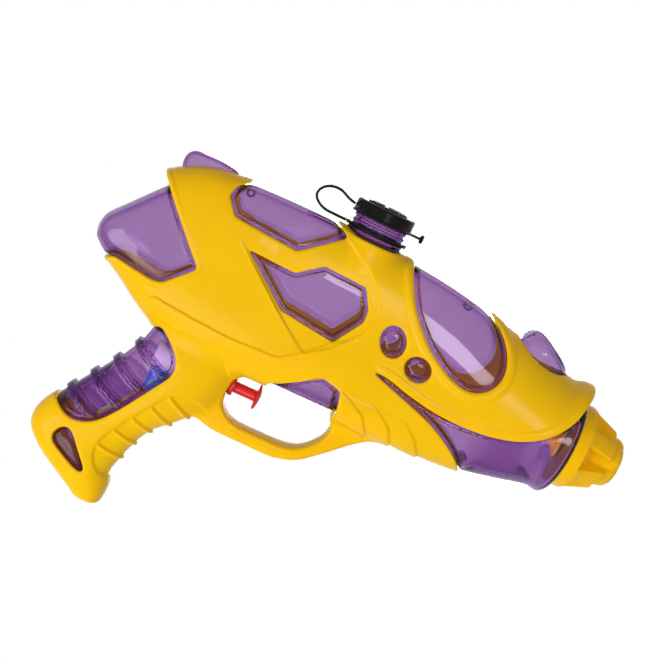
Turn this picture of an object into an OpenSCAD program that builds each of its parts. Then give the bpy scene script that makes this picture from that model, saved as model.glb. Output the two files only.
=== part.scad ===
// Toy water pistol: a hollow clear tank in two halves, an open cover in two halves screwed together over it,
// a filler neck with a tethered cap, and a trigger pump that feeds the nozzle through a hose.
// X runs forward along the barrel, Y to the left and Z up, in millimetres.
// The origin is the mouth of the jet hole at the muzzle.

/* [Body] */
// Length from the muzzle to the rear end of the tank
body_l = 286; // [280:1:296]
// Height of the tank's top above the barrel axis
body_top = 52; // [49:0.5:55]
// Depth of the tank's belly below the barrel axis
body_belly = 34.6; // [33:0.2:37]
// Width of the tank across its flat sides
body_w = 39.6; // [36:0.2:44]
// Diameter of the round nose of the tank
nose_d = 58; // [54:0.5:62]
// Wall of the tank
tank_wall = 1.8; // [1.4:0.1:2.4]

/* [Cover] */
// Wall of the cover
cover_wall = 1.8; // [1.4:0.1:2.4]
// Gap between the cover and the tank
cover_gap = 0.4; // [0.3:0.05:0.6]
// How far the tank rises into the windows of the cover
pad_rise = 1.8; // [1.2:0.1:2.4]
// Gap around the tank in each window
pad_gap = 0.5; // [0.4:0.1:0.8]
// How far the pillars stand proud of the panel between them
pillar_rise = 1.0; // [0.6:0.1:1.6]
// Step from one feather of the front fairing to the next
feather_step = 0.9; // [0.5:0.1:1.2]

/* [Grip] */
// Width of the grip
grip_w = 29; // [26:0.5:33]
// Height of the raised bands on the back of the grip
band_rise = 1.5; // [0.8:0.1:2]
// Height of the finger ribs above the finger hollow
finger_rise = 1.2; // [0.8:0.1:1.6]
// Thickness of the trigger guard from side to side
guard_w = 13; // [10:0.5:16]

/* [Filler] */
// Outside diameter of the filler neck
neck_d = 26.4; // [24:0.2:29]
// Bore of the filler neck
neck_bore = 22.4; // [20:0.2:22.6]
// Height of the neck above its socket
neck_h = 13.4; // [12.6:0.2:15]
// Gap between the cap and the neck
cap_gap = 0.8; // [0.7:0.1:1.2]
// Wall of the cap
cap_wall = 1.4; // [1:0.1:2]
// Height of the cap
cap_h = 7; // [6:0.2:8]
// Thickness of the tether ring
ring_t = 1.8; // [1.2:0.1:2.2]
// Width of the tether ring
ring_w = 3; // [2:0.2:4]
// Width of the tether strap
strap_w = 5; // [3:0.5:7]
// Thickness of the tether strap
strap_t = 1.3; // [0.8:0.1:1.6]

/* [Nozzle] */
// Diameter of the nozzle collar
nozzle_d = 44.6; // [42:0.2:47]
// Length of the nozzle in front of the tank
nozzle_l = 30; // [27:0.5:33]
// Diameter of the nozzle tip
tip_d = 26; // [23:0.5:28]
// Number of grip ribs around the nozzle
nozzle_ribs = 6; // [4:1:8]
// Width of one nozzle rib
nozzle_rib_w = 9; // [7:0.5:10]
// Diameter of the jet hole
jet_d = 1.6; // [1:0.1:2.4]
// Diameter of the nozzle spigot through the tank
spigot_d = 13.6; // [12:0.2:16]

/* [Pump] */
// Bore of the pump cylinder
pump_bore = 11; // [10:0.2:12]
// Wall of the pump cylinder
pump_wall = 1.7; // [1.3:0.1:2.2]
// Length of the pump cylinder
pump_l = 29.5; // [29:0.5:31]
// Diameter of the trigger rod
rod_d = 5.8; // [5:0.1:6.4]
// Diameter of the trigger button
button_d = 13.6; // [12:0.2:15]
// Diameter of the collar that guides the rod
collar_d = 10; // [9:0.2:11]
// Travel of the trigger
trigger_travel = 11; // [9:0.5:12]
// Running gap of the rod and the piston
run_gap = 0.1; // [0.06:0.01:0.15]
// Diameter of the valve balls
ball_d = 5; // [4.4:0.2:5.4]
// Lift of the valve balls
ball_lift = 1.2; // [0.8:0.1:1.6]
// Outside diameter of the hose
hose_d = 6; // [5.4:0.2:7]
// Wall of the hose
hose_wall = 0.8; // [0.6:0.1:1]
// Wire of the return spring
spring_wire = 0.9; // [0.7:0.1:1]
// Turns of the return spring
spring_turns = 7; // [5:1:8]

/* [Screws] */
// Diameter of the screw shank
screw_d = 2.6; // [2:0.1:3]
// Diameter of the screw head
screw_head_d = 5.2; // [4.6:0.2:5.6]
// Length of the screw under its head
screw_l = 9; // [8:0.5:10]

/* [Hidden] */

purple = "#6a3d9a";
yellow = "#f2bd05";
red = "#c81e1e";
black = "#1a1a1a";
blue = "#1f5fae";
steel = "#b8bcc0";
milky = "#dfe3e2";

tiny = 0.01;
far = 400;
body_half = body_w / 2;
nose_r = nose_d / 2;
rear_x = -body_l;
stretch = body_l / 286;
tank_front = -nozzle_l;

// Offsets of the skins from the surface that the tank shows in the windows
under_cover = -pad_rise;
cover_in = under_cover + cover_gap;
cover_out = cover_in + cover_wall;
pillar_out = cover_out + pillar_rise;
cavity_in = under_cover - tank_wall;

// Places along the body, carried along when its length changes
function along(t) = [for (p = t) [p[0] * stretch, each [for (i = [1:len(p) - 1]) p[i]]]];

// Sections along the body: place, top, bottom, half width and squareness
BODY = along([
  [-286, 5, -1, 5, 2.2],
  [-283.5, 9.5, -4.5, 11, 2.4],
  [-277, 17, -9.5, body_half - 4, 2.6],
  [-263, 33, -18, body_half - 1, 2.9],
  [-254, 42, -24, body_half - 0.3, 3],
  [-242, 48.5, -30.5, body_half, 3.2],
  [-228, body_top - 1, 1 - body_belly, body_half, 3.2],
  [-205, body_top, -body_belly, body_half, 3.2],
  [-182, body_top, -body_belly, body_half, 3.2],
  [-160, body_top - 0.8, -body_belly, body_half, 3.2],
  [-138, body_top - 2.5, -body_belly, body_half, 3.2],
  [-118, body_top - 4.5, -body_belly - 1, body_half + 0.4, 3],
  [-100, 44.5, -36.5, body_half + 1.6, 2.7],
  [-86, 41, -36.3, body_half + 3.2, 2.4],
  [-69, 37, -34.8, nose_r - 4, 2.2],
  [-52, nose_r + 4, -nose_r - 2.4, nose_r - 1.8, 2],
  [-39, nose_r + 0.8, 0.7 - nose_r, nose_r - 0.5, 2],
  [-33, nose_r + 1.6, 0.3 - nose_r, nose_r + 0.5, 2],
  [-26, nose_r + 1.6, 0.3 - nose_r, nose_r + 0.5, 2]
]);
body_front = BODY[len(BODY) - 1][0];
body_steps = 18;
body_sides = 8;

// Extra height of the cover over the rear pillar
CREST = along([[-286, 8], [-264, 8], [-255, 4.5], [-245, 2.2], [-234, 0.8], [-222, 1.2], [-212, 0],
               [-26, 0]]);

// Sections down the grip: height, back, front and half width
grip_half = grip_w / 2;
GRIP = [for (p = [
  [-20, -238, -196, grip_half - 1],
  [-39, -242.5, -195.5, grip_half],
  [-50, -247.5, -197, grip_half],
  [-61, -254.5, -201, grip_half - 0.3],
  [-72, -262, -210, grip_half - 0.6],
  [-83, -269.5, -221, grip_half - 0.8],
  [-94, -276, -226.5, grip_half - 0.5],
  [-103, -276.5, -229.5, grip_half],
  [-111, -269.5, -231.5, grip_half],
  [-119, -257, -230.5, grip_half - 1.5],
  [-126, -245, -231, grip_half - 5],
  [-130, -238.5, -234, 3]
]) [p[0], p[1] * stretch, p[2] * stretch, p[3]]];
grip_square = 2.5;
grip_steps = 11;
grip_sides = 6;

// A smooth line through the rows of a table, read from one of its columns
function slope(t, i, k) = let(a = max(i - 1, 0), b = min(i + 1, len(t) - 1))
  (t[b][k] - t[a][k]) / (t[b][0] - t[a][0]);
function row(t, x, i = 0) = i >= len(t) - 2 || (x - t[i + 1][0]) * sign(t[1][0] - t[0][0]) <= 0
  ? i : row(t, x, i + 1);
function curve(t, x, k) = let(i = row(t, x), h = t[i + 1][0] - t[i][0], u = (x - t[i][0]) / h)
  (1 + 2 * u) * (1 - u) ^ 2 * t[i][k] + u * (1 - u) ^ 2 * h * slope(t, i, k)
  + u ^ 2 * (3 - 2 * u) * t[i + 1][k] + u ^ 2 * (u - 1) * h * slope(t, i + 1, k);

// Half of a rounded section that bulges to the right, with a little past its spine for the seam to cut off
past_seam = 0.06;
function half_round(sides, square) = concat([[1, past_seam]], [for (i = [0:sides]) let(a = 180 * i / sides)
  [sign(cos(a)) * abs(cos(a)) ^ (2 / square), -abs(sin(a)) ^ (2 / square)]], [[-1, past_seam]]);
function body_ring(x, o, c) = let(t = curve(BODY, x, 1) + c * curve(CREST, x, 1), b = curve(BODY, x, 2),
    r = max((t - b) / 2 + o, 0.6), w = max(curve(BODY, x, 3) + o, 0.6))
  [for (p = half_round(body_sides, curve(BODY, x, 4)))
    [x - o * (x - body_front) / (rear_x - body_front), p[1] * w, (t + b) / 2 + p[0] * r]];
function grip_ring(z, o) = let(b = curve(GRIP, z, 1), f = curve(GRIP, z, 2), last = GRIP[len(GRIP) - 1][0],
    r = max((f - b) / 2 + o, 0.6), w = max(curve(GRIP, z, 3) + o, 0.6))
  [for (p = half_round(grip_sides, grip_square))
    [(b + f) / 2 + p[0] * r, p[1] * w, z - o * (z - GRIP[0][0]) / (last - GRIP[0][0])]];

// Stations stand closer together at the rounded end
function spread(a, b, n, bias) = [for (i = [0:n]) a + (b - a) * (i / n) ^ bias];

// A closed skin over a row of rings
module loft(rings) {
  n = len(rings[0]);
  m = len(rings);
  sides = [for (i = [0:m - 2], j = [0:n - 1]) let(a = i * n + j, b = i * n + (j + 1) % n)
    each [[a, a + n, b + n], [a, b + n, b]]];
  rear = [for (j = [0:n - 1]) j];
  front = [for (j = [n - 1:-1:0]) (m - 1) * n + j];
  polyhedron([for (r = rings) each r], concat(sides, [rear, front]), convexity = 6);
}

module body_skin(o, crest = 0)
  loft([for (x = spread(rear_x, body_front, body_steps, 1.25)) body_ring(x, o, crest)]);
module grip_skin(o)
  loft([for (z = spread(GRIP[0][0], GRIP[len(GRIP) - 1][0], grip_steps, 0.9)) grip_ring(z, o)]);
module skin(o, crest = 0) {
  body_skin(o, crest);
  grip_skin(o);
}

// Snout of the tank behind the trigger, with the pump against the wall inside it
pump_z = -45;
snout_r = 5.6;
snout_bore = 4.5;
snout_to = -194.4 * stretch;
snout_from = -203 * stretch;
pump_front = snout_from - tank_wall - 0.2;
pump_r = pump_bore / 2 + pump_wall;
pump_rear = pump_front - pump_l;
pump_end = 2.5;

// Side-view outlines, as place and height
function rounded(p, n = 3) = let(m = len(p)) [for (i = [0:m - 1], k = [0:n - 1])
  let(u = k / n, a = p[(i + m - 1) % m], b = p[i], c = p[(i + 1) % m], d = p[(i + 2) % m])
  0.5 * (2 * b + (c - a) * u + (2 * a - 5 * b + 4 * c - d) * u ^ 2 + (3 * b - a - 3 * c + d) * u ^ 3)];
function oval(c, rx, rz, tilt) = [for (a = [0:30:330])
  c + [rx * cos(a) * cos(tilt) - rz * sin(a) * sin(tilt),
       rx * cos(a) * sin(tilt) + rz * sin(a) * cos(tilt)]];

upper_window = along([[-226, 35], [-232.5, 43], [-231, 48], [-226, 52.5], [-221, 62], [-184, 62],
                      [-183, 54.5], [-173, 48], [-192.5, 32.5]]);
mid_window = along([[-213.5, 23.5], [-189, 22.5], [-177, 31.5], [-155, 30.5], [-149.5, 21], [-149, 15],
                    [-158.5, 0], [-187.5, 3.5]]);
front_window = rounded(along([[-139.5, 52], [-130, 32.5], [-115, 17], [-100, 8.3], [-88, 5.5],
                              [-79, 11], [-75.5, 21], [-80, 33.5], [-93, 45], [-116, 52]]), 2);
guard_window = along([[-172.5, -30.5], [-154.5, -18.5], [-144.5, -21], [-142, -30.5], [-141, -48],
                      [-178, -48], [-178, -33.5]]);
nose_opening = along([[-135, -5], [-128, -4.5], [-115, -8], [-100, -10.6], [-86, -11], [-70, -9.5],
                      [-58, -6], [-48, -0.5], [-40, 7.5], [-35, 16], [-32, 24], [-27, 33], [-26, 62],
                      [20, 62], [20, -60], [-60, -60], [-71, -37], [-76, -30], [-85, -23.5],
                      [-95, -17.8], [-105, -14], [-120, -9.5]]);
rear_opening = along([[-262, 36.5], [-232, 4.5], [-245, -8.5], [-250, -9.3], [-262, -8], [-271, -7],
                      [-277, -11], [-306, -18], [-306, 40], [-266.5, 40]]);
grip_opening = along([[-236, -30], [-226, -38], [-222.3, -44], [-222.3, -50], [-226, -56], [-238, -75],
                      [-245, -84.5], [-251, -89], [-259, -91], [-266, -88.5], [-272, -84.5],
                      [-300, -80], [-300, -34], [-243, -33.5], [-239, -31]]);
heel_window = along([[-264, -101], [-262, -97], [-258.5, -95], [-255, -97], [-243, -111.5],
                     [-243.5, -114], [-247, -113.5], [-263, -105]]);
upper_button = oval([-132 * stretch, 12.5], 6.4, 8, 25);
lower_button = oval([-115.3 * stretch, 5.2], 6.8, 6.1, -15);
OPENINGS = [upper_window, mid_window, front_window, guard_window, nose_opening, rear_opening, grip_opening,
            heel_window, upper_button, lower_button];
inner_panel = along([[-228, 42], [-234.5, 38.5], [-212, 20.5], [-190, 3], [-170, -11.5], [-158, -3],
                     [-145, 14], [-145, 24], [-155, 35], [-171, 46.8], [-180, 46]]);
finger_hollow = along([[-219.3, -59.2], [-212, -56.5], [-200, -60], [-190, -80], [-205, -112],
                       [-229, -113.5], [-236, -112], [-241, -106], [-242.8, -98.9], [-240, -91],
                       [-232, -78]]);
FEATHERS = [for (f = [[[-143.4, -20.2], [-130, -27], [-119, -37]], [[-128, -19], [-115, -26], [-105, -36]],
                      [[-109, -21], [-97, -29], [-90, -36]]]) along(f)];
rear_sight = along([[-258.5, 48.5], [-256.3, 52.4], [-244, 53], [-235, 51.5], [-230, 45], [-250, 40]]);
front_sight = along([[-67.6, 42.4], [-65.4, 44.2], [-62.4, 44.5], [-45.3, 32.4], [-72, 32]]);
tank_grip = along([[-320, -10], [-203, -10], [-203, -57], [-214, -68], [-224, -84], [-233, -104],
                   [-233, -118], [-320, -118]]);
PEGS = along([[-224, 45], [-106, 38.5], [-72, -29], [-41, -23.5], [-237, -26], [-243, -70]]);
peg_d = 2.4;
peg_boss_d = 4.6;
peg_l = 3;
sight_w = 6.4;

// A side-view outline made into a slab across the whole width, and half of it on the right
module slab() rotate([90, 0, 0]) linear_extrude(height = far, center = true, convexity = 8) children();
module right_side() intersection() {
  children();
  translate([-far, -far, -far]) cube([2 * far, far, 2 * far]);
}
module open_area(inset) offset(delta = -inset) for (p = OPENINGS) polygon(p);
module behind(x) translate([x - far, -far, -far]) cube([far, 2 * far, 2 * far]);

// Filler socket on the tank
neck_x = -160.5 * stretch;
socket_r = neck_d / 2 + 1.4;
socket_top = body_top + 0.6;
sleeve_r = neck_bore / 2 + 1.1;
sleeve_l = 6;
fit_gap = 0.25;
saddle_r = socket_r + 3.2;
saddle_top = body_top - 1.4;

module along_x(x, z) translate([x, 0, z]) rotate([0, 90, 0]) children();
module snout(r, past) along_x(snout_from - 1, pump_z)
  cylinder(r = r, h = snout_to - snout_from + 1 + past, $fn = 24);

// Tank: the skin under the cover, raised where the windows show it, with bands, sights and a filler socket
module sight(outline, extra) hull() for (p = outline) translate([p[0], 1, p[1]]) rotate([90, 0, 0])
  cylinder(r = 2 + extra, h = sight_w / 2 + 1 + extra, $fn = 8);
module peg_boss(p) hull() {
  translate([p[0], 1, p[1]]) rotate([90, 0, 0]) cylinder(d = peg_boss_d, h = tiny, $fn = 8);
  translate([p[0], -body_half, p[1]]) rotate([90, 0, 0]) cylinder(d = peg_boss_d + 1, h = 12, $fn = 8);
}
module grip_bands() for (k = [0:3]) translate([(-239 - 7.6 * k) * stretch, 0, -46 - 11.3 * k])
  rotate([0, 24, 0]) translate([-40, -far, -1.8]) cube([80, 2 * far, 3.6]);

module tank_form(gap) {
  intersection() {
    union() {
      body_skin(under_cover + gap);
      intersection() {
        grip_skin(under_cover + gap);
        slab() offset(delta = gap) polygon(tank_grip);
      }
    }
    behind(tank_front + gap);
  }
  sight(rear_sight, gap);
  sight(front_sight, gap);
  snout(snout_r + gap, gap);
  translate([neck_x, 0, body_top - 14])
    cylinder(r = socket_r + gap, h = 14 + socket_top - body_top + (gap > 0 ? 6 : 0), $fn = 32);
}
module tank_cavity() difference() {
  intersection() {
    union() {
      body_skin(cavity_in);
      intersection() {
        grip_skin(cavity_in);
        slab() offset(delta = -tank_wall) polygon(tank_grip);
      }
    }
    behind(tank_front - tank_wall);
  }
  for (p = PEGS) peg_boss(p);
  translate([neck_x, 0, body_top - 9]) cylinder(r = socket_r, h = 20, $fn = 32);
}
module tank_half() right_side() difference() {
  union() {
    tank_form(0);
    intersection() {
      skin(0);
      slab() open_area(pad_gap);
      behind(tank_front);
    }
    intersection() {
      grip_skin(band_rise);
      grip_bands();
      slab() offset(delta = -pad_gap) polygon(grip_opening);
    }
    intersection() {
      body_skin(cover_out);
      slab() offset(delta = -pad_gap) {
        polygon(upper_button);
        polygon(lower_button);
      }
    }
  }
  tank_cavity();
  translate([neck_x, 0, body_top - 12]) cylinder(r = sleeve_r + fit_gap, h = 20, $fn = 32);
  along_x(tank_front - 5, 0) cylinder(d = spigot_d + 2 * fit_gap, h = 10, $fn = 24);
  translate([-3, 0, 0]) snout(snout_bore, 10);
}
module tank_right() color(purple, 0.6) {
  tank_half();
  for (p = PEGS) translate([p[0], peg_l - 0.3, p[1]]) rotate([90, 0, 0])
    cylinder(d = peg_d, h = peg_l, $fn = 8);
}
module tank_left() color(purple, 0.6) difference() {
  mirror([0, 1, 0]) tank_half();
  for (p = PEGS) translate([p[0], peg_l + 0.2, p[1]]) rotate([90, 0, 0])
    cylinder(d = peg_d + 2 * fit_gap, h = peg_l + 1, $fn = 8);
}

// Cover: pillars and hood over the tank, a lower panel, feathers, finger ribs and the trigger guard
// Beads along the guard: place, height, radius and width as a share of the guard's width
GUARD = along([[-201.5, -38, 7, 1.1], [-201, -48, 6, 1.06], [-200.5, -56, 5.8, 1.03],
               [-197, -62, 5, 1.015], [-189, -65.4, 4.1, 0.99], [-160.3, -65.7, 4, 0.97],
               [-151, -63.6, 4.4, 0.985], [-144.5, -57.5, 5, 1.01], [-138.5, -50, 6, 1.04],
               [-133.5, -42, 7.2, 1.08], [-132, -34, 8, 1.12]]);
module guard_bead(p) translate([p[0], 0, p[1]]) scale([1, p[3] * guard_w / 2 / p[2], 1])
  sphere(r = p[2], $fn = 10);
module guard() for (i = [0:len(GUARD) - 2]) hull() {
  guard_bead(GUARD[i]);
  guard_bead(GUARD[i + 1]);
}
module finger_ribs() for (k = [0:4]) translate([(-214 - 4.6 * k) * stretch, 0, -63.5 - 9.2 * k])
  rotate([0, 32 - 4 * k, 0]) translate([-21, -far, -1.2]) cube([42, 2 * far, 2.4]);
feather_rear = -146 * stretch;
module feather_area(f) polygon(concat(f, [[f[2][0], -60], [feather_rear, -60], [feather_rear, f[0][1]]]));
module saddle() translate([neck_x, 0, body_top - 14])
  cylinder(r = saddle_r, h = 14 + saddle_top - body_top, $fn = 32);

SCREWS = along([[-131, -43.5], [-205, -63], [-237, -124]]);
screw_seat = 3.6;
screw_head_h = 1.8;
module at_screws(y) for (p = SCREWS) translate([p[0], y, p[1]]) rotate([90, 0, 0]) children();

module cover_area() difference() {
  translate([-far, -far]) square(2 * far);
  open_area(0);
}
module cover_form() {
  difference() {
    skin(pillar_out, 1);
    intersection() {
      difference() {
        skin(pillar_out + 1, 1);
        skin(cover_out, 1);
      }
      slab() {
        polygon(inner_panel);
        polygon(finger_hollow);
      }
    }
  }
  intersection() {
    grip_skin(cover_out + finger_rise);
    finger_ribs();
    slab() offset(delta = 0.6) polygon(finger_hollow);
  }
  for (i = [0:len(FEATHERS) - 1]) intersection() {
    body_skin(pillar_out + feather_step * (len(FEATHERS) - i));
    slab() feather_area(FEATHERS[i]);
  }
  saddle();
}
module cover_half() right_side() difference() {
  union() {
    intersection() {
      cover_form();
      slab() cover_area();
    }
    guard();
  }
  tank_form(cover_gap);
  snout(snout_r + cover_gap, 20);
}
module cover_right() color(yellow) difference() {
  cover_half();
  at_screws(screw_seat + tiny) cylinder(d = screw_d + 0.3, h = screw_l + 0.4, $fn = 16);
}
module cover_left() color(yellow) difference() {
  mirror([0, 1, 0]) cover_half();
  at_screws(screw_seat + tiny) cylinder(d = screw_d + 0.3, h = screw_l, $fn = 16);
  at_screws(far) cylinder(d = screw_head_d + 0.8, h = far - screw_seat, $fn = 16);
}
module cover_screws() color(steel) at_screws(screw_seat) {
  cylinder(d = screw_d, h = screw_l, $fn = 24);
  translate([0, 0, -screw_head_h]) cylinder(d = screw_head_d, h = screw_head_h, $fn = 24);
}

// Filler: the neck sits in its socket with the tether ring around it and the cap over its mouth
neck_flange = 1.4;
neck_top = socket_top + neck_h;
ring_z = socket_top + neck_flange + 0.1;
bead_z = ring_z + ring_t + 2.4;
bead_r = 0.9;
cap_in = neck_d / 2 + cap_gap;
cap_r = cap_in + cap_wall;
cap_top = neck_top + 0.3 + 1.8;
cap_low = cap_top - cap_h;
cap_rim = 1.2;
module filler_neck() color(purple, 0.6) translate([neck_x, 0, 0]) difference() {
  rotate_extrude($fn = 64) {
    polygon([[0, socket_top - sleeve_l], [sleeve_r, socket_top - sleeve_l], [sleeve_r, socket_top],
             [socket_r, socket_top], [socket_r, socket_top + neck_flange],
             [neck_d / 2, socket_top + neck_flange], [neck_d / 2, neck_top - 0.6],
             [neck_d / 2 - 0.6, neck_top], [0, neck_top]]);
    translate([neck_d / 2 - 0.1, bead_z]) circle(r = bead_r, $fn = 24);
  }
  translate([0, 0, socket_top - sleeve_l - 1]) cylinder(d = neck_bore, h = sleeve_l + neck_h + 2, $fn = 64);
}
module tether_ring() color(black) translate([neck_x, 0, ring_z]) difference() {
  cylinder(r = neck_d / 2 + 0.2 + ring_w, h = ring_t, $fn = 64);
  translate([0, 0, -1]) cylinder(r = neck_d / 2 + 0.2, h = ring_t + 2, $fn = 64);
}
module filler_cap() color(black) translate([neck_x, 0, 0]) {
  difference() {
    rotate_extrude($fn = 64) polygon([[0, cap_low], [cap_r + 0.6, cap_low], [cap_r + 0.6, cap_low + cap_rim],
      [cap_r, cap_low + cap_rim], [cap_r, cap_top - 0.8], [cap_r - 0.8, cap_top], [cap_r - 4.8, cap_top],
      [cap_r - 5.2, cap_top + 0.9], [0, cap_top + 0.9]]);
    translate([0, 0, cap_low - 1]) cylinder(r = cap_in, h = neck_top + 0.3 - cap_low + 1, $fn = 64);
  }
  translate([cap_r, -1.5, cap_low]) cube([7, 3, cap_rim]);
  translate([cap_r + 5, -2.4, cap_low]) cube([1.8, 4.8, cap_rim]);
  translate([cap_r + 5, -0.9, cap_low - 1.6]) cube([1.8, 1.8, 4.4]);
}

// Tether strap: a flat strip that leaves the ring, turns back on itself and ends at the cap
strap_from = neck_x - neck_d / 2 - 0.2 - ring_w - 0.06;
strap_to = neck_x - cap_r - 0.3;
STRAP = [[strap_from, ring_z + ring_t / 2], [neck_x - 22.5, ring_z + ring_t / 2], [neck_x - 28.5, 55.4],
         [neck_x - 33, 57.7], [neck_x - 34.8, 61], [neck_x - 33.3, 64.5], [neck_x - 29.5, 66.8],
         [neck_x - 24.5, 67], [neck_x - 19.5, 65], [strap_to, cap_low + 3]];
function through(p, n) = concat([for (i = [0:len(p) - 2], k = [0:n - 1])
  let(u = k / n, a = p[max(i - 1, 0)], b = p[i], c = p[i + 1], d = p[min(i + 2, len(p) - 1)])
  0.5 * (2 * b + (c - a) * u + (2 * a - 5 * b + 4 * c - d) * u ^ 2 + (3 * b - a - 3 * c + d) * u ^ 3)],
  [p[len(p) - 1]]);
function heading(p, i) = let(d = p[min(i + 1, len(p) - 1)] - p[max(i - 1, 0)]) d / norm(d);
module tether_strap() color(black) {
  path = through(STRAP, 3);
  sides = [for (s = [1, -1]) [for (i = [0:len(path) - 1]) let(h = heading(path, i))
    path[i] + s * strap_t / 2 * [-h[1], h[0]]]];
  n = len(path);
  rotate([90, 0, 0]) linear_extrude(height = strap_w, center = true)
    polygon(concat(sides[0], [for (i = [n - 1:-1:0]) sides[1][i]]));
}

// Nozzle: a stepped core with broad grip ribs, a flange held by the tank's front wall and a hose stem
stem_r = hose_d / 2 - hose_wall;
stem_l = 10;
feed_r = stem_r - 1;
jet_l = 8;
washer_d = 20;
washer_t = 1.2;
collar_r = nozzle_d / 2;
tip_r = tip_d / 2;
rib_from = tank_front + 8;
taper_to = -7;
hose_to = tank_front - tank_wall - 6;
module turned(points) rotate([0, 90, 0]) rotate_extrude($fn = 64) polygon(points);
module nozzle_core() turned([[0, tank_front], [collar_r, tank_front], [collar_r, rib_from],
  [collar_r - 5, rib_from], [tip_r + 0.8, rib_from + 5], [tip_r - 1, rib_from + 5.4], [tip_r - 1, -3],
  [tip_r - 2, -1], [tip_r - 4, 0], [0, 0]]);
module nozzle_full() turned([[8, tank_front + 3], [collar_r - 0.3, tank_front + 3],
  [collar_r - 0.3, rib_from + 1], [collar_r - 1.8, rib_from + 3], [tip_r + 3, taper_to],
  [tip_r + 0.4, taper_to + 0.6], [tip_r, -3], [tip_r - 1.2, -1], [tip_r - 2.4, -0.5], [8, -0.5]]);
module nozzle() color(yellow) difference() {
  union() {
    nozzle_core();
    intersection() {
      nozzle_full();
      for (k = [0:nozzle_ribs - 1]) rotate([360 * k / nozzle_ribs, 0, 0])
        translate([tank_front, -nozzle_rib_w / 2, 9]) cube([nozzle_l, nozzle_rib_w, collar_r]);
    }
    along_x(tank_front - tank_wall - 0.3, 0) cylinder(d = spigot_d, h = tank_wall + 1, $fn = 48);
    along_x(tank_front - tank_wall - 2.3, 0) cylinder(d = spigot_d + 5, h = 2, $fn = 48);
    along_x(hose_to, 0) cylinder(d = spigot_d - 3, h = 5, $fn = 48);
    along_x(hose_to - stem_l, 0) cylinder(r = stem_r, h = stem_l + 1, $fn = 32);
  }
  along_x(-jet_l - 1, 0) cylinder(d = jet_d, h = jet_l + 2, $fn = 32);
  along_x(hose_to - stem_l - 1, 0) cylinder(r = feed_r, h = stem_l + 1 - hose_to - jet_l, $fn = 32);
  along_x(tank_front - tiny, 0) difference() {
    cylinder(d = washer_d + 0.4, h = washer_t, $fn = 48);
    translate([0, 0, -1]) cylinder(d = spigot_d, h = washer_t + 2, $fn = 48);
  }
}
module nozzle_washer() color(black) along_x(tank_front, 0) difference() {
  cylinder(d = washer_d, h = washer_t - 0.1, $fn = 48);
  translate([0, 0, -1]) cylinder(d = spigot_d + 0.2, h = washer_t + 2, $fn = 48);
}

// Pump: a cylinder with a spigot for the inlet valve below and an outlet housing above, each with a ball
inlet_x = pump_rear + 5;
outlet_x = pump_rear + 10;
ball_r = ball_d / 2;
cage_r = ball_r + 0.4;
house_r = cage_r + 1.6;
port_r = 1.5;
seat_rise = 2;
seat_gap = 0.15;
seat_slope = (cage_r - port_r) / seat_rise;
ball_up = ((ball_r + seat_gap) * sqrt(1 + seat_slope ^ 2) - port_r) / seat_slope;
stop_up = sqrt(ball_r ^ 2 - port_r ^ 2) + ball_lift + 0.3;
spigot_low = pump_z - pump_r - 3;
inlet_z = spigot_low - stop_up - ball_up;
inlet_top = pump_z - pump_r - 0.8;
inlet_low = inlet_z - 4;
dip_r = 2.3;
outlet_z = pump_z + pump_bore / 2 + 1.5;
outlet_top = outlet_z + ball_up + ball_r + ball_lift + 3.3;
module pump_cylinder() color(milky) difference() {
  union() {
    along_x(pump_rear, pump_z) cylinder(r = pump_r, h = pump_l, $fn = 48);
    translate([inlet_x, 0, spigot_low]) cylinder(r = cage_r - 0.05, h = pump_z - spigot_low, $fn = 48);
    translate([outlet_x, 0, pump_z]) cylinder(r = house_r, h = outlet_top - pump_z, $fn = 48);
  }
  along_x(pump_rear + pump_end, pump_z) cylinder(d = pump_bore, h = pump_l, $fn = 48);
  translate([inlet_x, 0, spigot_low - 1]) cylinder(r = port_r, h = pump_z - spigot_low, $fn = 32);
  translate([inlet_x - far, -0.6, spigot_low - tiny]) cube([2 * far, 1.2, 1.4]);
  translate([outlet_x, 0, 0]) rotate_extrude($fn = 48) polygon([[0, pump_z + 3], [port_r, pump_z + 3],
    [port_r, outlet_z], [cage_r, outlet_z + seat_rise], [cage_r, outlet_top + 1], [0, outlet_top + 1]]);
}
module inlet_valve() color(blue) translate([inlet_x, 0, 0]) difference() {
  rotate_extrude($fn = 48) polygon([[0, inlet_low], [house_r - 0.5, inlet_low], [house_r, inlet_low + 0.5],
    [house_r, inlet_top], [0, inlet_top]]);
  rotate_extrude($fn = 48) polygon([[0, inlet_low - 1], [dip_r + 0.05, inlet_low - 1],
    [dip_r + 0.05, inlet_z - 1], [port_r, inlet_z - 1], [port_r, inlet_z], [cage_r, inlet_z + seat_rise],
    [cage_r, inlet_top + 1], [0, inlet_top + 1]]);
}
module inlet_ball() color(steel) translate([inlet_x, 0, inlet_z + ball_up]) sphere(r = ball_r, $fn = 32);
module outlet_ball() color(steel) translate([outlet_x, 0, outlet_z + ball_up]) sphere(r = ball_r, $fn = 32);

elbow_r = 3.8;
elbow_h = 8;
elbow_z = outlet_top + elbow_h / 2;
hose_from = outlet_x + elbow_r + 0.4;
module outlet_elbow() color(blue) difference() {
  union() {
    translate([outlet_x, 0, outlet_top - 2.8]) cylinder(r = cage_r - 0.05, h = 4, $fn = 48);
    translate([outlet_x, 0, outlet_top]) cylinder(r = elbow_r, h = elbow_h, $fn = 48);
    along_x(outlet_x, elbow_z) cylinder(r = stem_r, h = elbow_r + stem_l, $fn = 32);
  }
  translate([outlet_x, 0, outlet_top - 4]) cylinder(r = feed_r, h = 4 + elbow_h / 2, $fn = 32);
  along_x(outlet_x, elbow_z) cylinder(r = feed_r, h = elbow_r + stem_l + 1, $fn = 32);
}

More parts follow.
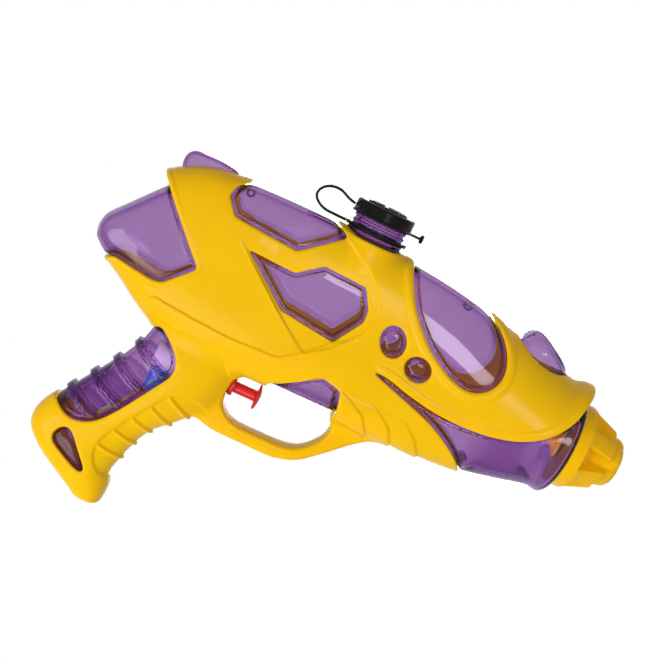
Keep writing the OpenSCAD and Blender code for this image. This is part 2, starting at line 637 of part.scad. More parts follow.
// Trigger: a round button on a rod with a grooved piston, pushed forward by a spring
guide_r = snout_bore - 0.1;
guide_rear = snout_from - tank_wall;
collar_from = snout_to + 0.1;
collar_l = 2.4;
button_back = collar_from + collar_l + trigger_travel + 0.6;
button_t = 2.8;
piston_front = pump_front - 0.3;
piston_l = 5;
seal_r = 0.95;
piston_r = pump_bore / 2 - run_gap;
spring_r = pump_bore / 2 - spring_wire / 2 - 0.7;
module rod_guide() color(red) difference() {
  union() {
    along_x(guide_rear, pump_z) cylinder(r = guide_r, h = collar_from - guide_rear + 0.5, $fn = 48);
    along_x(collar_from, pump_z) cylinder(d = collar_d, h = collar_l, $fn = 48);
  }
  along_x(guide_rear - 1, pump_z)
    cylinder(d = rod_d + 2 * run_gap, h = collar_from - guide_rear + 6, $fn = 48);
}
module trigger() color(red) difference() {
  union() {
    along_x(piston_front, pump_z) cylinder(d = rod_d, h = button_back + 1 - piston_front, $fn = 48);
    along_x(piston_front - piston_l, pump_z) cylinder(r = piston_r, h = piston_l, $fn = 48);
    translate([0, 0, pump_z]) turned([[0, button_back], [button_d / 2 - 0.4, button_back],
      [button_d / 2, button_back + 0.6], [button_d / 2 - 1, button_back + 1.6],
      [button_d / 4, button_back + button_t - 0.3], [0, button_back + button_t]]);
  }
  along_x(piston_front - piston_l / 2 - seal_r, pump_z) difference() {
    cylinder(r = piston_r + 1, h = 2 * seal_r, $fn = 48);
    translate([0, 0, -1]) cylinder(r = pump_bore / 2 - 2 * seal_r - 0.1, h = 4, $fn = 48);
  }
}
module piston_seal() color(black) along_x(piston_front - piston_l / 2, pump_z) rotate_extrude($fn = 48)
  translate([pump_bore / 2 - seal_r - 0.05, 0]) circle(r = seal_r - 0.05, $fn = 24);

// A tube swept along a route, hollow where it has a bore
function ring_at(p, h, r, n) = let(side = [0, 1, 0], up = cross(side, h))
  [for (k = [0:n - 1]) p + r * cos(360 * k / n) * side + r * sin(360 * k / n) * up];
function heading3(p, i) = let(d = p[min(i + 1, len(p) - 1)] - p[max(i - 1, 0)]) d / norm(d);
module tube(path, r, bore, n) {
  m = len(path);
  pts = concat([for (i = [0:m - 1]) each ring_at(path[i], heading3(path, i), r, n)],
               [for (i = [0:m - 1]) each ring_at(path[i], heading3(path, i), bore, n)]);
  wall = [for (i = [0:m - 2], k = [0:n - 1]) let(a = i * n + k, b = i * n + (k + 1) % n, q = m * n)
    each [[a, b, b + n], [a, b + n, a + n], [a + q, b + n + q, b + q], [a + q, a + n + q, b + n + q]]];
  ends = [for (k = [0:n - 1]) let(b = (k + 1) % n, q = m * n, e = (m - 1) * n)
    each [[k, k + q, b + q], [k, b + q, b], [e + k, e + b + q, e + k + q], [e + k, e + b, e + b + q]]];
  polyhedron(pts, concat(wall, ends), convexity = 6);
}
HOSE = concat([[hose_from, 0, elbow_z], [hose_from + stem_l - 1, 0, elbow_z]],
  along([[-198, 0, -22], [-180, 0, -16.5], [-160, 0, -13], [-140, 0, -9], [-120, 0, -5], [-100, 0, -3],
         [-75, 0, -2.5], [-60, 0, -0.6]]), [[hose_to - stem_l + 1, 0, 0], [hose_to - 0.2, 0, 0]]);
module outlet_hose() color(milky) tube(HOSE, hose_d / 2, stem_r + 0.25, 8);

DIP = concat([[inlet_x, 0, inlet_z - 1.1], [inlet_x, 0, inlet_low - 3]],
             along([[-231, 0, -78], [-235.5, 0, -93], [-241, 0, -108]]));
module suction_tube() color(milky) tube(through(DIP, 2), dip_r, dip_r - 0.8, 8);

// Return spring between the piston and the closed end of the cylinder
spring_from = pump_rear + pump_end + spring_wire / 2 + 0.1;
spring_to = piston_front - piston_l - spring_wire / 2 - 0.1;
function coil(t) = let(u = t * spring_turns * 360)
  [spring_from + (spring_to - spring_from) * t, spring_r * cos(u), pump_z + spring_r * sin(u)];
module return_spring() color(steel) {
  n = 6;
  m = spring_turns * 7;
  ring = [for (i = [0:m]) let(c = coil(i / m), u = 360 * spring_turns * i / m, out = [0, cos(u), sin(u)])
    each [for (k = [0:n - 1])
      c + spring_wire / 2 * (cos(360 * k / n) * out + sin(360 * k / n) * [1, 0, 0])]];
  wall = [for (i = [0:m - 1], k = [0:n - 1]) let(a = i * n + k, b = i * n + (k + 1) % n)
    each [[a, b, b + n], [a, b + n, a + n]]];
  polyhedron(ring, concat(wall, [[for (k = [n - 1:-1:0]) k], [for (k = [0:n - 1]) m * n + k]]));
}

tank_right();
tank_left();
cover_right();
cover_left();
cover_screws();
filler_neck();
tether_ring();
tether_strap();
filler_cap();
nozzle();
nozzle_washer();
pump_cylinder();
rod_guide();
trigger();
piston_seal();
return_spring();
inlet_ball();
inlet_valve();
outlet_ball();
outlet_elbow();
suction_tube();
outlet_hose();
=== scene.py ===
import math

import bmesh
import bpy
import numpy as np
from mathutils import Matrix, Vector
from mathutils.geometry import delaunay_2d_cdt


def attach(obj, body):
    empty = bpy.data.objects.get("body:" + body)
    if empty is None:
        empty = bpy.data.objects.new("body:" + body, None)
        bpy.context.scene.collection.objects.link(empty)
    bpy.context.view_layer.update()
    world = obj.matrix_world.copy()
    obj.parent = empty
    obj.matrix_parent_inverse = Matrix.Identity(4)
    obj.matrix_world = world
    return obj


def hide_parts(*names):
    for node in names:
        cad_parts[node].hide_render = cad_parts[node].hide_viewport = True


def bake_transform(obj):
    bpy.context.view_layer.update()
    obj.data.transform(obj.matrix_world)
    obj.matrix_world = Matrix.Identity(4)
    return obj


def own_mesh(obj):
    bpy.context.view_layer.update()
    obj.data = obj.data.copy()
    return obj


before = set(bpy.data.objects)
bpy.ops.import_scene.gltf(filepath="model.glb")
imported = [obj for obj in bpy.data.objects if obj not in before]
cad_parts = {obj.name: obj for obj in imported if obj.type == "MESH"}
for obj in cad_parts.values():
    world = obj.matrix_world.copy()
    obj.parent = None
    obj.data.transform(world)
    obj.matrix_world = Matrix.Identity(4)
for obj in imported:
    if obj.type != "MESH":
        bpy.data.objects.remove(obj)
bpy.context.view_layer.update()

# Studio: the camera stands off the right side, a little above and turned so that the muzzle points down.
# A white world and a pale floor surround the toy. Three soft boxes light the near side, and a fourth behind
# the toy, which the eye doesn't see, lights the clear parts and the far cover through the windows.
MM = 0.001
turn, lift, roll = math.radians(-4.4), math.radians(9.0), math.radians(25.5)
toward = Vector((math.sin(turn) * math.cos(lift), -math.cos(turn) * math.cos(lift), math.sin(lift)))
level = Vector((math.cos(turn), math.sin(turn), 0))
upright = toward.cross(level)
across = level * math.cos(roll) + upright * math.sin(roll)
above = upright * math.cos(roll) - level * math.sin(roll)
aim = Vector((-159, 0, 1)) * MM
STAND_OFF = 575
FILM_WIDE = 36
FOCUS_PIXELS, PICTURE_PIXELS = 1150, 665
WHITE = (1, 1, 1, 1)
FLOOR_Z, FLOOR_HALF = -0.8, 4


def set_in_scene(name, data):
    """A new object with that data, put in the scene."""
    made = bpy.data.objects.new(name, data)
    bpy.context.scene.collection.objects.link(made)
    return made


lens = bpy.data.cameras.new("camera")
lens.sensor_width = FILM_WIDE
lens.lens = FILM_WIDE * FOCUS_PIXELS / PICTURE_PIXELS
lens.clip_start = 0.02
camera = set_in_scene("camera", lens)
camera.matrix_world = Matrix.Translation(aim + toward * STAND_OFF * MM) @ Matrix(
    (across, above, toward)).transposed().to_4x4()
bpy.context.scene.camera = camera
bpy.context.scene.view_settings.view_transform = "Standard"


def white_for_sight(tree, lit):
    """A strength of 1 where the camera, a mirror or a clear wall looks, and the shader lit elsewhere."""
    path = tree.nodes.new("ShaderNodeLightPath")
    either = tree.nodes.new("ShaderNodeMath")
    either.operation = "MAXIMUM"
    tree.links.new(path.outputs["Is Camera Ray"], either.inputs[0])
    tree.links.new(path.outputs["Is Glossy Ray"], either.inputs[1])
    any_of = tree.nodes.new("ShaderNodeMath")
    any_of.operation = "MAXIMUM"
    tree.links.new(either.outputs[0], any_of.inputs[0])
    tree.links.new(path.outputs["Is Transmission Ray"], any_of.inputs[1])
    seen = tree.nodes.new("ShaderNodeEmission" if lit.type != "BACKGROUND" else "ShaderNodeBackground")
    seen.inputs["Color"].default_value = WHITE
    mix = tree.nodes.new("ShaderNodeMixShader")
    tree.links.new(any_of.outputs[0], mix.inputs[0])
    tree.links.new(lit.outputs[0], mix.inputs[1])
    tree.links.new(seen.outputs[0], mix.inputs[2])
    return mix


world = bpy.data.worlds.new("studio")
bpy.context.scene.world = world
world.use_nodes = True
sky = world.node_tree.nodes["Background"]
sky.inputs["Color"].default_value = WHITE
sky.inputs["Strength"].default_value = 0.34
world.node_tree.links.new(white_for_sight(world.node_tree, sky).outputs[0],
                          world.node_tree.nodes["World Output"].inputs["Surface"])

floor_mesh = bpy.data.meshes.new("floor")
corners = ((-1, -1), (1, -1), (1, 1), (-1, 1))
floor_mesh.from_pydata([(a * FLOOR_HALF, b * FLOOR_HALF, FLOOR_Z) for a, b in corners], [], [(0, 1, 2, 3)])
floor = set_in_scene("floor", floor_mesh)
paper = bpy.data.materials.new("floor_paper")
paper.use_nodes = True
matte = paper.node_tree.nodes["Principled BSDF"]
matte.inputs["Base Color"].default_value = (0.85, 0.85, 0.85, 1)
matte.inputs["Roughness"].default_value = 0.9
paper.node_tree.links.new(white_for_sight(paper.node_tree, matte).outputs[0],
                          paper.node_tree.nodes["Material Output"].inputs["Surface"])
floor_mesh.materials.append(paper)


def soft_box(name, right, up, near, size, watts):
    """A broad lamp that faces the toy, set off in metres to the right, up and near as the camera sees it."""
    lamp = bpy.data.lights.new(name, "AREA")
    lamp.shape = "RECTANGLE"
    lamp.size, lamp.size_y = size
    lamp.energy = watts
    held = set_in_scene(name, lamp)
    held.location = aim + across * right + above * up + toward * near
    held.rotation_mode = "QUATERNION"
    held.rotation_quaternion = (aim - held.location).to_track_quat("-Z", "Y")
    return held


soft_box("key_box", -0.42, -0.46, 0.72, (0.45, 0.38), 2.7)
soft_box("front_box", 0.17, -0.07, 0.80, (0.20, 0.20), 1.4)
soft_box("left_box", -0.73, -0.11, 0.68, (0.60, 0.42), 3.2).data.shape = "ELLIPSE"
back_box = soft_box("back_box", 0.05, 0.02, -0.95, (0.6, 0.5), 6.0)
back_box.visible_camera = False
back_box.visible_transmission = False

# Tank: a clear violet hollow moulding in two halves with a wall of about 1.8 mm, welded along the middle.
# It stands proud in each window of the cover and carries both sights, the filler socket and the pump's
# snout. BODY lists place, top, bottom, half width and squareness; GRIP lists level, back, front, half width.
BODY = [(-286, 5, -1, 5, 2.2), (-283.5, 9.5, -4.5, 11, 2.4), (-277, 17, -9.5, 15.8, 2.6),
        (-263, 33, -18, 18.8, 2.9), (-254, 42, -24, 19.5, 3), (-242, 48.5, -30.5, 19.8, 3.2),
        (-228, 51, -33.6, 19.8, 3.2), (-205, 52, -34.6, 19.8, 3.2), (-182, 52, -34.6, 19.8, 3.2),
        (-160, 51.2, -34.6, 19.8, 3.2), (-138, 49.5, -34.6, 19.8, 3.2), (-118, 47.5, -35.6, 20.2, 3),
        (-100, 44.5, -36.5, 21.4, 2.7), (-86, 41, -36.3, 23, 2.4), (-69, 37, -34.8, 25, 2.2),
        (-52, 33, -31.4, 27.2, 2), (-39, 29.8, -28.3, 28.5, 2), (-33, 30.6, -28.7, 29.5, 2),
        (-26, 30.6, -28.7, 29.5, 2)]
GRIP = [(-130, -238.5, -234, 3), (-126, -245, -231, 9.5), (-119, -257, -230.5, 13),
        (-111, -269.5, -231.5, 14.5), (-103, -276.5, -229.5, 14.5), (-94, -276, -226.5, 14),
        (-83, -269.5, -221, 13.7), (-72, -262, -210, 13.9), (-61, -254.5, -201, 14.2),
        (-50, -247.5, -197, 14.5), (-39, -242.5, -195.5, 14.5), (-20, -238, -196, 13.5)]
WINDOWS = {
    "upper": (1.5, [(-226, 35), (-232.5, 43), (-231, 48), (-226, 52.5), (-221, 62), (-184, 62),
                    (-183, 54.5), (-173, 48), (-192.5, 32.5)]),
    "middle": (1.2, [(-213.5, 23.5), (-189, 22.5), (-177, 31.5), (-155, 30.5), (-149.5, 21), (-149, 15),
                     (-158.5, 0), (-187.5, 3.5)]),
    "front": (8, [(-139.5, 52), (-130, 32.5), (-115, 17), (-100, 8.3), (-88, 5.5), (-79, 11), (-75.5, 21),
                  (-80, 33.5), (-93, 45), (-116, 52), (-130, 58)]),
    "guard": (1.2, [(-172.5, -30.5), (-154.5, -18.5), (-144.5, -21), (-142, -30.5), (-141, -48),
                    (-178, -48), (-178, -33.5)]),
    "nose": (6, [(-135, -5), (-128, -4.5), (-115, -8), (-100, -10.6), (-86, -11), (-70, -9.5), (-58, -6),
                 (-48, -0.5), (-40, 7.5), (-35, 16), (-32, 24), (-27, 33), (-26, 62), (20, 62), (20, -60),
                 (-60, -60), (-71, -37), (-76, -30), (-85, -23.5), (-95, -17.8), (-105, -14),
                 (-120, -9.5)]),
    "rear": (2, [(-262, 36.5), (-232, 4.5), (-245, -8.5), (-250, -9.3), (-262, -8), (-271, -7), (-277, -11),
                 (-306, -18), (-306, 40), (-266.5, 40)]),
    "grip": (4, [(-236, -30), (-226, -38), (-222.3, -44), (-222.3, -50), (-226, -56), (-238, -75),
                 (-245, -84.5), (-251, -89), (-259, -91), (-266, -88.5), (-272, -84.5), (-300, -80),
                 (-300, -34), (-243, -33.5), (-239, -31)]),
    "heel": (3, [(-264, -101), (-262, -97), (-258.5, -95), (-255, -97), (-243, -111.5), (-243.5, -114),
                 (-247, -113.5), (-263, -105)]),
}
BUTTONS = [((-132, 12.5), 6.4, 8.0, 25), ((-115.3, 5.2), 6.8, 6.1, -15)]
SIGHTS = [[(-260.5, 44), (-260.8, 50.5), (-257.8, 54.4), (-244, 55), (-233.5, 53.6), (-227, 44),
           (-250, 38)],
          [(-73, 38), (-69, 44.4), (-65.5, 46), (-61.5, 44.9), (-43.4, 33), (-55, 20), (-74, 32)]]
PEGS = [(-224.5, 47.2), (-104, 42), (-72, -29), (-41, -23.5), (-237, -26)]
TANK_GRIP = np.array([(-320, 0), (-203, 0), (-203, -57), (-214, -68), (-224, -84), (-233, -104), (-233, -118),
                      (-320, -118)], float)
NECK_X, SOCKET_R, SOCKET_TOP, SLEEVE_R = -160.5, 14.6, 52.6, 12.3
PUMP_Z, SNOUT_BACK, SNOUT_R, BORE_R = -45.0, -205, 5.6, 4.5
REAR_END, GRIP_END, BODY_LOW = -286, -130, -38
WALL, PAD_RISE = 1.8, 1.8
SEAM, PAST_SEAM = -0.04, 1.2


def track(rows, at, column):
    """The value and slope of a smooth line through one column of a table of stations."""
    place = np.array([r[0] for r in rows], float)
    value = np.array([r[column] for r in rows], float)
    spot = np.arange(len(place))
    low, high = np.maximum(spot - 1, 0), np.minimum(spot + 1, len(place) - 1)
    slope = (value[high] - value[low]) / (place[high] - place[low])
    at = np.clip(at, place[0], place[-1])
    i = np.clip(np.searchsorted(place, at) - 1, 0, len(place) - 2)
    h = place[i + 1] - place[i]
    u = (at - place[i]) / h
    on = ((1 + 2 * u) * (1 - u) ** 2 * value[i] + u * (1 - u) ** 2 * h * slope[i]
          + u * u * (3 - 2 * u) * value[i + 1] + u * u * (u - 1) * h * slope[i + 1])
    rate = (6 * u * (u - 1) * (value[i] - value[i + 1]) / h + (1 - u) * (1 - 3 * u) * slope[i]
            + u * (3 * u - 2) * slope[i + 1])
    return on, rate


def round_section(side, over, half_side, half_over, rates, square):
    """Distance from a rounded section whose two half sizes and middle change along its line."""
    a, b = np.abs(side) / half_side, np.abs(over) / half_over
    total = a ** square + b ** square + 1e-9
    reach = total ** (1 / square)
    share = reach / total
    ga, gb = share * a ** (square - 1), share * b ** (square - 1)
    along = ga * (-a * rates[0] / half_side) + gb * ((-rates[2] * np.sign(over) - b * rates[1]) / half_over)
    return (reach - 1) / np.sqrt((ga / half_side) ** 2 + (gb / half_over) ** 2 + along ** 2 + 1e-9)


def merge(a, b, soft):
    """Two forms joined with a fillet of that size."""
    h = np.maximum(soft - np.abs(a - b), 0)
    return np.minimum(a, b) - h * h / (4 * soft)


def trim(a, b, soft):
    """What two forms share, with its edge rounded by that size."""
    h = np.maximum(soft - np.abs(a - b), 0)
    return np.maximum(a, b) + h * h / (4 * soft)


def skin(x, y, z, crest=None):
    """Distance from the violet surface that shows in the windows, below 0 inside."""
    top, dtop = track(BODY, x, 1)
    low, dlow = track(BODY, x, 2)
    wide, dwide = track(BODY, x, 3)
    square, _ = track(BODY, x, 4)
    if crest:
        rise, drise = track(crest, x, 1)
        top, dtop = top + rise, dtop + drise
    body = round_section(y, z - (top + low) / 2, wide, (top - low) / 2,
                         (dwide, (dtop - dlow) / 2, (dtop + dlow) / 2), square)
    body = trim(body, REAR_END - x, 3)
    back, dback = track(GRIP, z, 1)
    fore, dfore = track(GRIP, z, 2)
    wide, dwide = track(GRIP, z, 3)
    grip = round_section(y, x - (back + fore) / 2, wide, (fore - back) / 2,
                         (dwide, (dfore - dback) / 2, (dfore + dback) / 2), 2.5)
    grip = trim(trim(grip, GRIP_END - z, 4), z + 18, 2)
    return merge(body, grip, 5)


def eased(points, r):
    """An outline with each corner rounded by about that size."""
    p = np.array(points, float)
    out = []
    for a, b, c in zip(np.roll(p, 1, 0), p, np.roll(p, -1, 0)):
        s = b + (a - b) * min(r / np.linalg.norm(a - b), 0.48)
        e = b + (c - b) * min(r / np.linalg.norm(c - b), 0.48)
        out += [(1 - t) ** 2 * s + 2 * t * (1 - t) * b + t * t * e for t in (0, 0.25, 0.5, 0.75, 1)]
    return np.array(out)


def outside(points, x, z, near=7.0):
    """Distance from a side-view outline, below 0 inside; further off than near it is only a lower bound."""
    xs, zs = np.broadcast_arrays(x, z)
    low, high = points.min(0), points.max(0)
    gap = np.maximum(np.maximum(low[0] - xs, xs - high[0]), np.maximum(low[1] - zs, zs - high[1]))
    close = gap < near
    px, pz = xs[close], zs[close]
    far, inner = np.full(px.shape, 1e9), np.zeros(px.shape, bool)
    for (x0, z0), (x1, z1) in zip(points, np.roll(points, -1, 0)):
        dx, dz = x1 - x0, z1 - z0
        t = np.clip(((px - x0) * dx + (pz - z0) * dz) / (dx * dx + dz * dz + 1e-12), 0, 1)
        far = np.minimum(far, (px - x0 - t * dx) ** 2 + (pz - z0 - t * dz) ** 2)
        if z0 != z1:
            inner ^= ((z0 > pz) != (z1 > pz)) & (px < (pz - z0) * dx / dz + x0)
    gap = gap.astype(float)
    gap[close] = np.where(inner, -1, 1) * np.sqrt(far)
    return gap


def step_up(gap, wide):
    """0 outside an edge and 1 inside it, over a soft ramp."""
    t = np.clip(0.5 - gap / wide, 0, 1)
    return t * t * (3 - 2 * t)


def button_gap(x, z):
    """Distance from the two round buttons on the front pillar."""
    gap = 1e9
    for (cx, cz), rx, rz, tilt in BUTTONS:
        c, s = math.cos(math.radians(tilt)), math.sin(math.radians(tilt))
        u, v = (x - cx) * c + (z - cz) * s, (z - cz) * c - (x - cx) * s
        gap = np.minimum(gap, (np.sqrt((u / rx) ** 2 + (v / rz) ** 2 + 1e-9) - 1) * min(rx, rz))
    return gap


OUTLINES = {name: eased(points, r) for name, (r, points) in WINDOWS.items()}
SIGHT_LINES = [eased(p, 3) for p in SIGHTS]


def window_gap(x, z):
    """Distance from the nearest opening of the cover, read from the side."""
    gap = button_gap(x, z)
    for points in OUTLINES.values():
        gap = np.minimum(gap, outside(points, x, z))
    return gap


def grip_bands(x, z):
    """Distance from the four raised bands across the back of the grip."""
    gap = 1e9
    c, s = math.cos(math.radians(24)), math.sin(math.radians(24))
    for k in range(4):
        gap = np.minimum(gap, np.abs((x + 239 + 7.6 * k) * s + (z + 46 + 11.3 * k) * c) - 1.8)
    return gap


def sight_foot(x, y):
    """Distance from the round foot of the front sight, read from above."""
    return 12.5 * (np.hypot((x + 59) / 14.5, y / 12.5) - 1)


def tank_shape(x, y, z):
    """Distance from the tank's wall: what shows of it, less its hollow and the bores that open into it."""
    over = skin(x, y, z)
    gap = window_gap(x, z)
    in_grip = outside(OUTLINES["grip"], x, z) + 1.0
    bands = np.maximum(grip_bands(x, z), in_grip)
    limit = np.minimum(outside(TANK_GRIP, x, z), BODY_LOW - z)
    show = merge(over + PAD_RISE, trim(over, gap + 0.5, 1.8), 0.5)
    show = merge(show, trim(over - 1.8, bands, 0.6), 0.3)
    show = merge(show, trim(over - 0.9, button_gap(x, z) + 0.5, 4.0), 0.3)
    show = trim(trim(show, x + 30, 4.0), limit, 1.0)
    # Painted shade: the wall is 1.7 mm thicker in the lower front of the nose, so that the violet looks
    # darker there, standing in for shade behind it.
    nose = 1.7 * step_up(-68 - x, 8) * step_up(z, 8) * step_up(x + 40, 6)
    thick = WALL + 2.0 * step_up(z + 62, 10) + nose
    hollow = merge(over + PAD_RISE + thick, trim(over + thick, gap + 2.3, 1.2), 0.5)
    lines = np.maximum(np.abs(grip_bands(x, z)) - 0.6, in_grip)
    hollow = np.maximum(hollow, -np.maximum(lines, -over - thick - 1.6))
    hollow = trim(trim(hollow, x + 31.6, 3.0), limit + WALL, 1.0)
    for cx, cz in PEGS:
        r = np.sqrt((x - cx) ** 2 + (z - cz) ** 2)
        hollow = np.maximum(hollow, -np.maximum(np.maximum(r - 2.3, 1.2 - r), -4.5 - y))
    neck = np.sqrt((x - NECK_X) ** 2 + y ** 2)
    hollow = np.maximum(hollow, -np.maximum(neck - SOCKET_R, 43 - z))
    wedge = trim(sight_foot(x, y), 0.58 * (np.abs(y) - 3.4 - 1.4 * (46 - z)), 2.0)
    for line, side in zip(SIGHT_LINES, (np.abs(y) - 3.4, wedge)):
        fin = outside(line, x, z)
        show = merge(show, trim(fin, side, 2.0), 1.0)
        hollow = np.minimum(hollow, np.maximum(trim(fin + 1.5, side + 1.4, 1.0), -over - 8))
    show = merge(show, np.maximum(neck - SOCKET_R, np.maximum(z - SOCKET_TOP, 38 - z)), 0.8)
    pump = np.sqrt(y ** 2 + (z - PUMP_Z) ** 2)
    show = np.minimum(show, np.maximum(pump - SNOUT_R, np.maximum(x + 194.4, SNOUT_BACK - x)))
    solid = np.maximum(show, -hollow)
    solid = np.maximum(solid, -np.maximum(neck - SLEEVE_R - 0.25, 40 - z))
    solid = np.maximum(solid, -np.maximum(pump - BORE_R, np.maximum(x + 180, SNOUT_BACK - 3 - x)))
    solid = np.maximum(solid, -np.maximum(np.sqrt(y ** 2 + z ** 2) - 7.05, -36 - x))
    return np.maximum(solid, y - PAST_SEAM)


def moulded(shape, low, high, step):
    """Points and quads of the surface where the shape is 0, drawn on a grid and then set on the surface."""
    lines = [np.arange(a, b + step, step) for a, b in zip(low, high)]
    f = np.broadcast_to(shape(lines[0][:, None, None], lines[1][None, :, None], lines[2][None, None, :]),
                        [len(v) for v in lines]).astype(np.float32)
    solid = f < 0
    cube = [(i, j, k) for i in (0, 1) for j in (0, 1) for k in (0, 1)]
    n = np.array(solid.shape) - 1
    count = sum(solid[i:n[0] + i, j:n[1] + j, k:n[2] + k].astype(np.int8) for i, j, k in cube)
    cells = np.argwhere((count > 0) & (count < 8))
    number = np.full(count.shape, -1, np.int32)
    number[tuple(cells.T)] = np.arange(len(cells))
    corner = {c: f[tuple((cells + c).T)] for c in cube}
    spot, hits = np.zeros((len(cells), 3)), np.zeros(len(cells))
    for a in cube:
        for axis in range(3):
            if a[axis]:
                continue
            b = tuple(v + (k == axis) for k, v in enumerate(a))
            cut = (corner[a] < 0) != (corner[b] < 0)
            t = np.where(cut, corner[a] / np.where(cut, corner[a] - corner[b], 1), 0)
            for k in range(3):
                spot[:, k] += np.where(cut, t if k == axis else a[k], 0)
            hits += cut
    p = np.array(low) + (cells + spot / hits[:, None]) * step
    quads = []
    for axis in range(3):
        first = np.take(solid, range(n[axis]), axis)
        last = np.take(solid, range(1, n[axis] + 1), axis)
        one, two = (axis + 1) % 3, (axis + 2) % 3
        for inner, flip in ((first & ~last, 1), (last & ~first, -1)):
            e = np.argwhere(inner)
            e = e[(e[:, one] > 0) & (e[:, two] > 0) & (e[:, one] < n[one]) & (e[:, two] < n[two])]
            ring = []
            for da, db in ((1, 1), (0, 1), (0, 0), (1, 0)):
                c = e.copy()
                c[:, one] -= da
                c[:, two] -= db
                ring.append(number[tuple(c.T)])
            quads.append(np.stack(ring[::flip], 1))
    quads = np.concatenate(quads)
    tail = np.concatenate([quads.T, quads.T], 1).ravel()
    head = np.concatenate([np.roll(quads, 1, 1).T, np.roll(quads, -1, 1).T], 1).ravel()
    total = np.maximum(np.bincount(tail, minlength=len(p)), 1)[:, None]
    nudge, most = 0.04, 0.6 * step
    for settle in (1, 2):
        near = np.stack([np.bincount(tail, p[head, k], len(p)) for k in range(3)], 1) / total
        p = 0.5 * (p + near)
        for _ in range(settle):
            here = shape(*p.T)
            slope = np.stack([(shape(*(p + nudge * np.eye(3)[k]).T) - here) / nudge for k in range(3)], 1)
            move = (here / np.maximum((slope ** 2).sum(1), 0.1))[:, None] * slope
            p = p - np.clip(move, -most, most)
    return p, quads


def halved(shape, points, quads):
    """The half on the right of the middle plane, cut flat along its seam, with the cut faces closed."""
    whole = bpy.data.meshes.new("whole")
    whole.from_pydata(points.tolist(), [], quads.tolist())
    b = bmesh.new()
    b.from_mesh(whole)
    cut = bmesh.ops.bisect_plane(b, geom=[*b.verts, *b.edges, *b.faces], dist=1e-5, plane_co=(0, SEAM, 0),
                                 plane_no=(0, 1, 0), clear_outer=True)["geom_cut"]
    rim = [v for v in cut if isinstance(v, bmesh.types.BMVert)]
    at = {v: k for k, v in enumerate(rim)}
    edges = [(at[e.verts[0]], at[e.verts[1]]) for e in cut if isinstance(e, bmesh.types.BMEdge)]
    flat = delaunay_2d_cdt([Vector((v.co.x, v.co.z)) for v in rim], edges, [], 0, 1e-7)
    ends = [rim[k[0]] if k else b.verts.new((c[0], SEAM, c[1])) for c, k in zip(flat[0], flat[3])]
    mid = np.array([np.mean([flat[0][k] for k in f], 0) for f in flat[2]])
    for f, inner in zip(flat[2], shape(mid[:, 0], np.full(len(mid), SEAM), mid[:, 1]) < 0):
        if inner:
            b.faces.new([ends[k] for k in f])
    bmesh.ops.recalc_face_normals(b, faces=b.faces)
    b.verts.index_update()
    spots, faces = np.array([v.co for v in b.verts]), [[v.index for v in f.verts] for f in b.faces]
    b.free()
    bpy.data.meshes.remove(whole)
    return spots, faces


def tidy_faces(mesh, smooth=40, turn_out=True):
    """All faces turned outward where that is asked, and shaded smooth up to a sharp corner."""
    if turn_out:
        b = bmesh.new()
        b.from_mesh(mesh)
        bmesh.ops.recalc_face_normals(b, faces=b.faces)
        b.to_mesh(mesh)
        b.free()
    mesh.update()
    mesh.shade_smooth()
    mesh.set_sharp_from_angle(angle=math.radians(smooth))


def placed(name, points, faces, finish, body, slot, nodes, smooth=48, turn_out=False):
    """A finished piece from points in millimetres, riding its body in place of its CAD nodes."""
    mesh = bpy.data.meshes.new(name)
    mesh.from_pydata((np.asarray(points) * MM).tolist(), [], [list(map(int, f)) for f in faces])
    tidy_faces(mesh, smooth, turn_out)
    mesh.materials.append(finish)
    made = set_in_scene(name, mesh)
    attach(made, body)
    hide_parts(*nodes)
    return made


def surface(name, colour, other, rough, grain=900, bump=0.03, depth=0.0002):
    """A moulded surface: two close colours in soft patches, uneven gloss and a fine grain."""
    finish = bpy.data.materials.new(name)
    finish.use_nodes = True
    tree = finish.node_tree
    shade = tree.nodes["Principled BSDF"]
    place = tree.nodes.new("ShaderNodeTexCoord")
    patch = tree.nodes.new("ShaderNodeTexNoise")
    patch.inputs["Scale"].default_value = 45
    patch.inputs["Detail"].default_value = 3
    fine = tree.nodes.new("ShaderNodeTexNoise")
    fine.inputs["Scale"].default_value = grain
    fine.inputs["Detail"].default_value = 2
    tree.links.new(place.outputs["Object"], patch.inputs["Vector"])
    tree.links.new(place.outputs["Object"], fine.inputs["Vector"])
    tint = tree.nodes.new("ShaderNodeValToRGB")
    tint.color_ramp.elements[0].position = 0.35
    tint.color_ramp.elements[0].color = (*other, 1)
    tint.color_ramp.elements[1].position = 0.65
    tint.color_ramp.elements[1].color = (*colour, 1)
    tree.links.new(patch.outputs["Fac"], tint.inputs["Fac"])
    tree.links.new(tint.outputs["Color"], shade.inputs["Base Color"])
    gloss = tree.nodes.new("ShaderNodeMapRange")
    gloss.inputs["To Min"].default_value = rough[0]
    gloss.inputs["To Max"].default_value = rough[1]
    tree.links.new(patch.outputs["Fac"], gloss.inputs["Value"])
    tree.links.new(gloss.outputs["Result"], shade.inputs["Roughness"])
    relief = tree.nodes.new("ShaderNodeBump")
    relief.inputs["Strength"].default_value = bump
    relief.inputs["Distance"].default_value = depth
    tree.links.new(fine.outputs["Fac"], relief.inputs["Height"])
    tree.links.new(relief.outputs["Normal"], shade.inputs["Normal"])
    return finish


def tuned(finish, values):
    """Sets some values of a finish's shader."""
    for name, value in values.items():
        finish.node_tree.nodes["Principled BSDF"].inputs[name].default_value = value


violet = surface("clear_violet", (0.70, 0.66, 0.755), (0.67, 0.635, 0.73), (0.015, 0.05), 70, 0.02, 0.001)
tuned(violet, {"Transmission Weight": 1.0, "IOR": 1.2, "Coat Weight": 0.32, "Coat IOR": 1.45,
               "Coat Roughness": 0.06})
glass = violet.node_tree.nodes["Principled BSDF"]
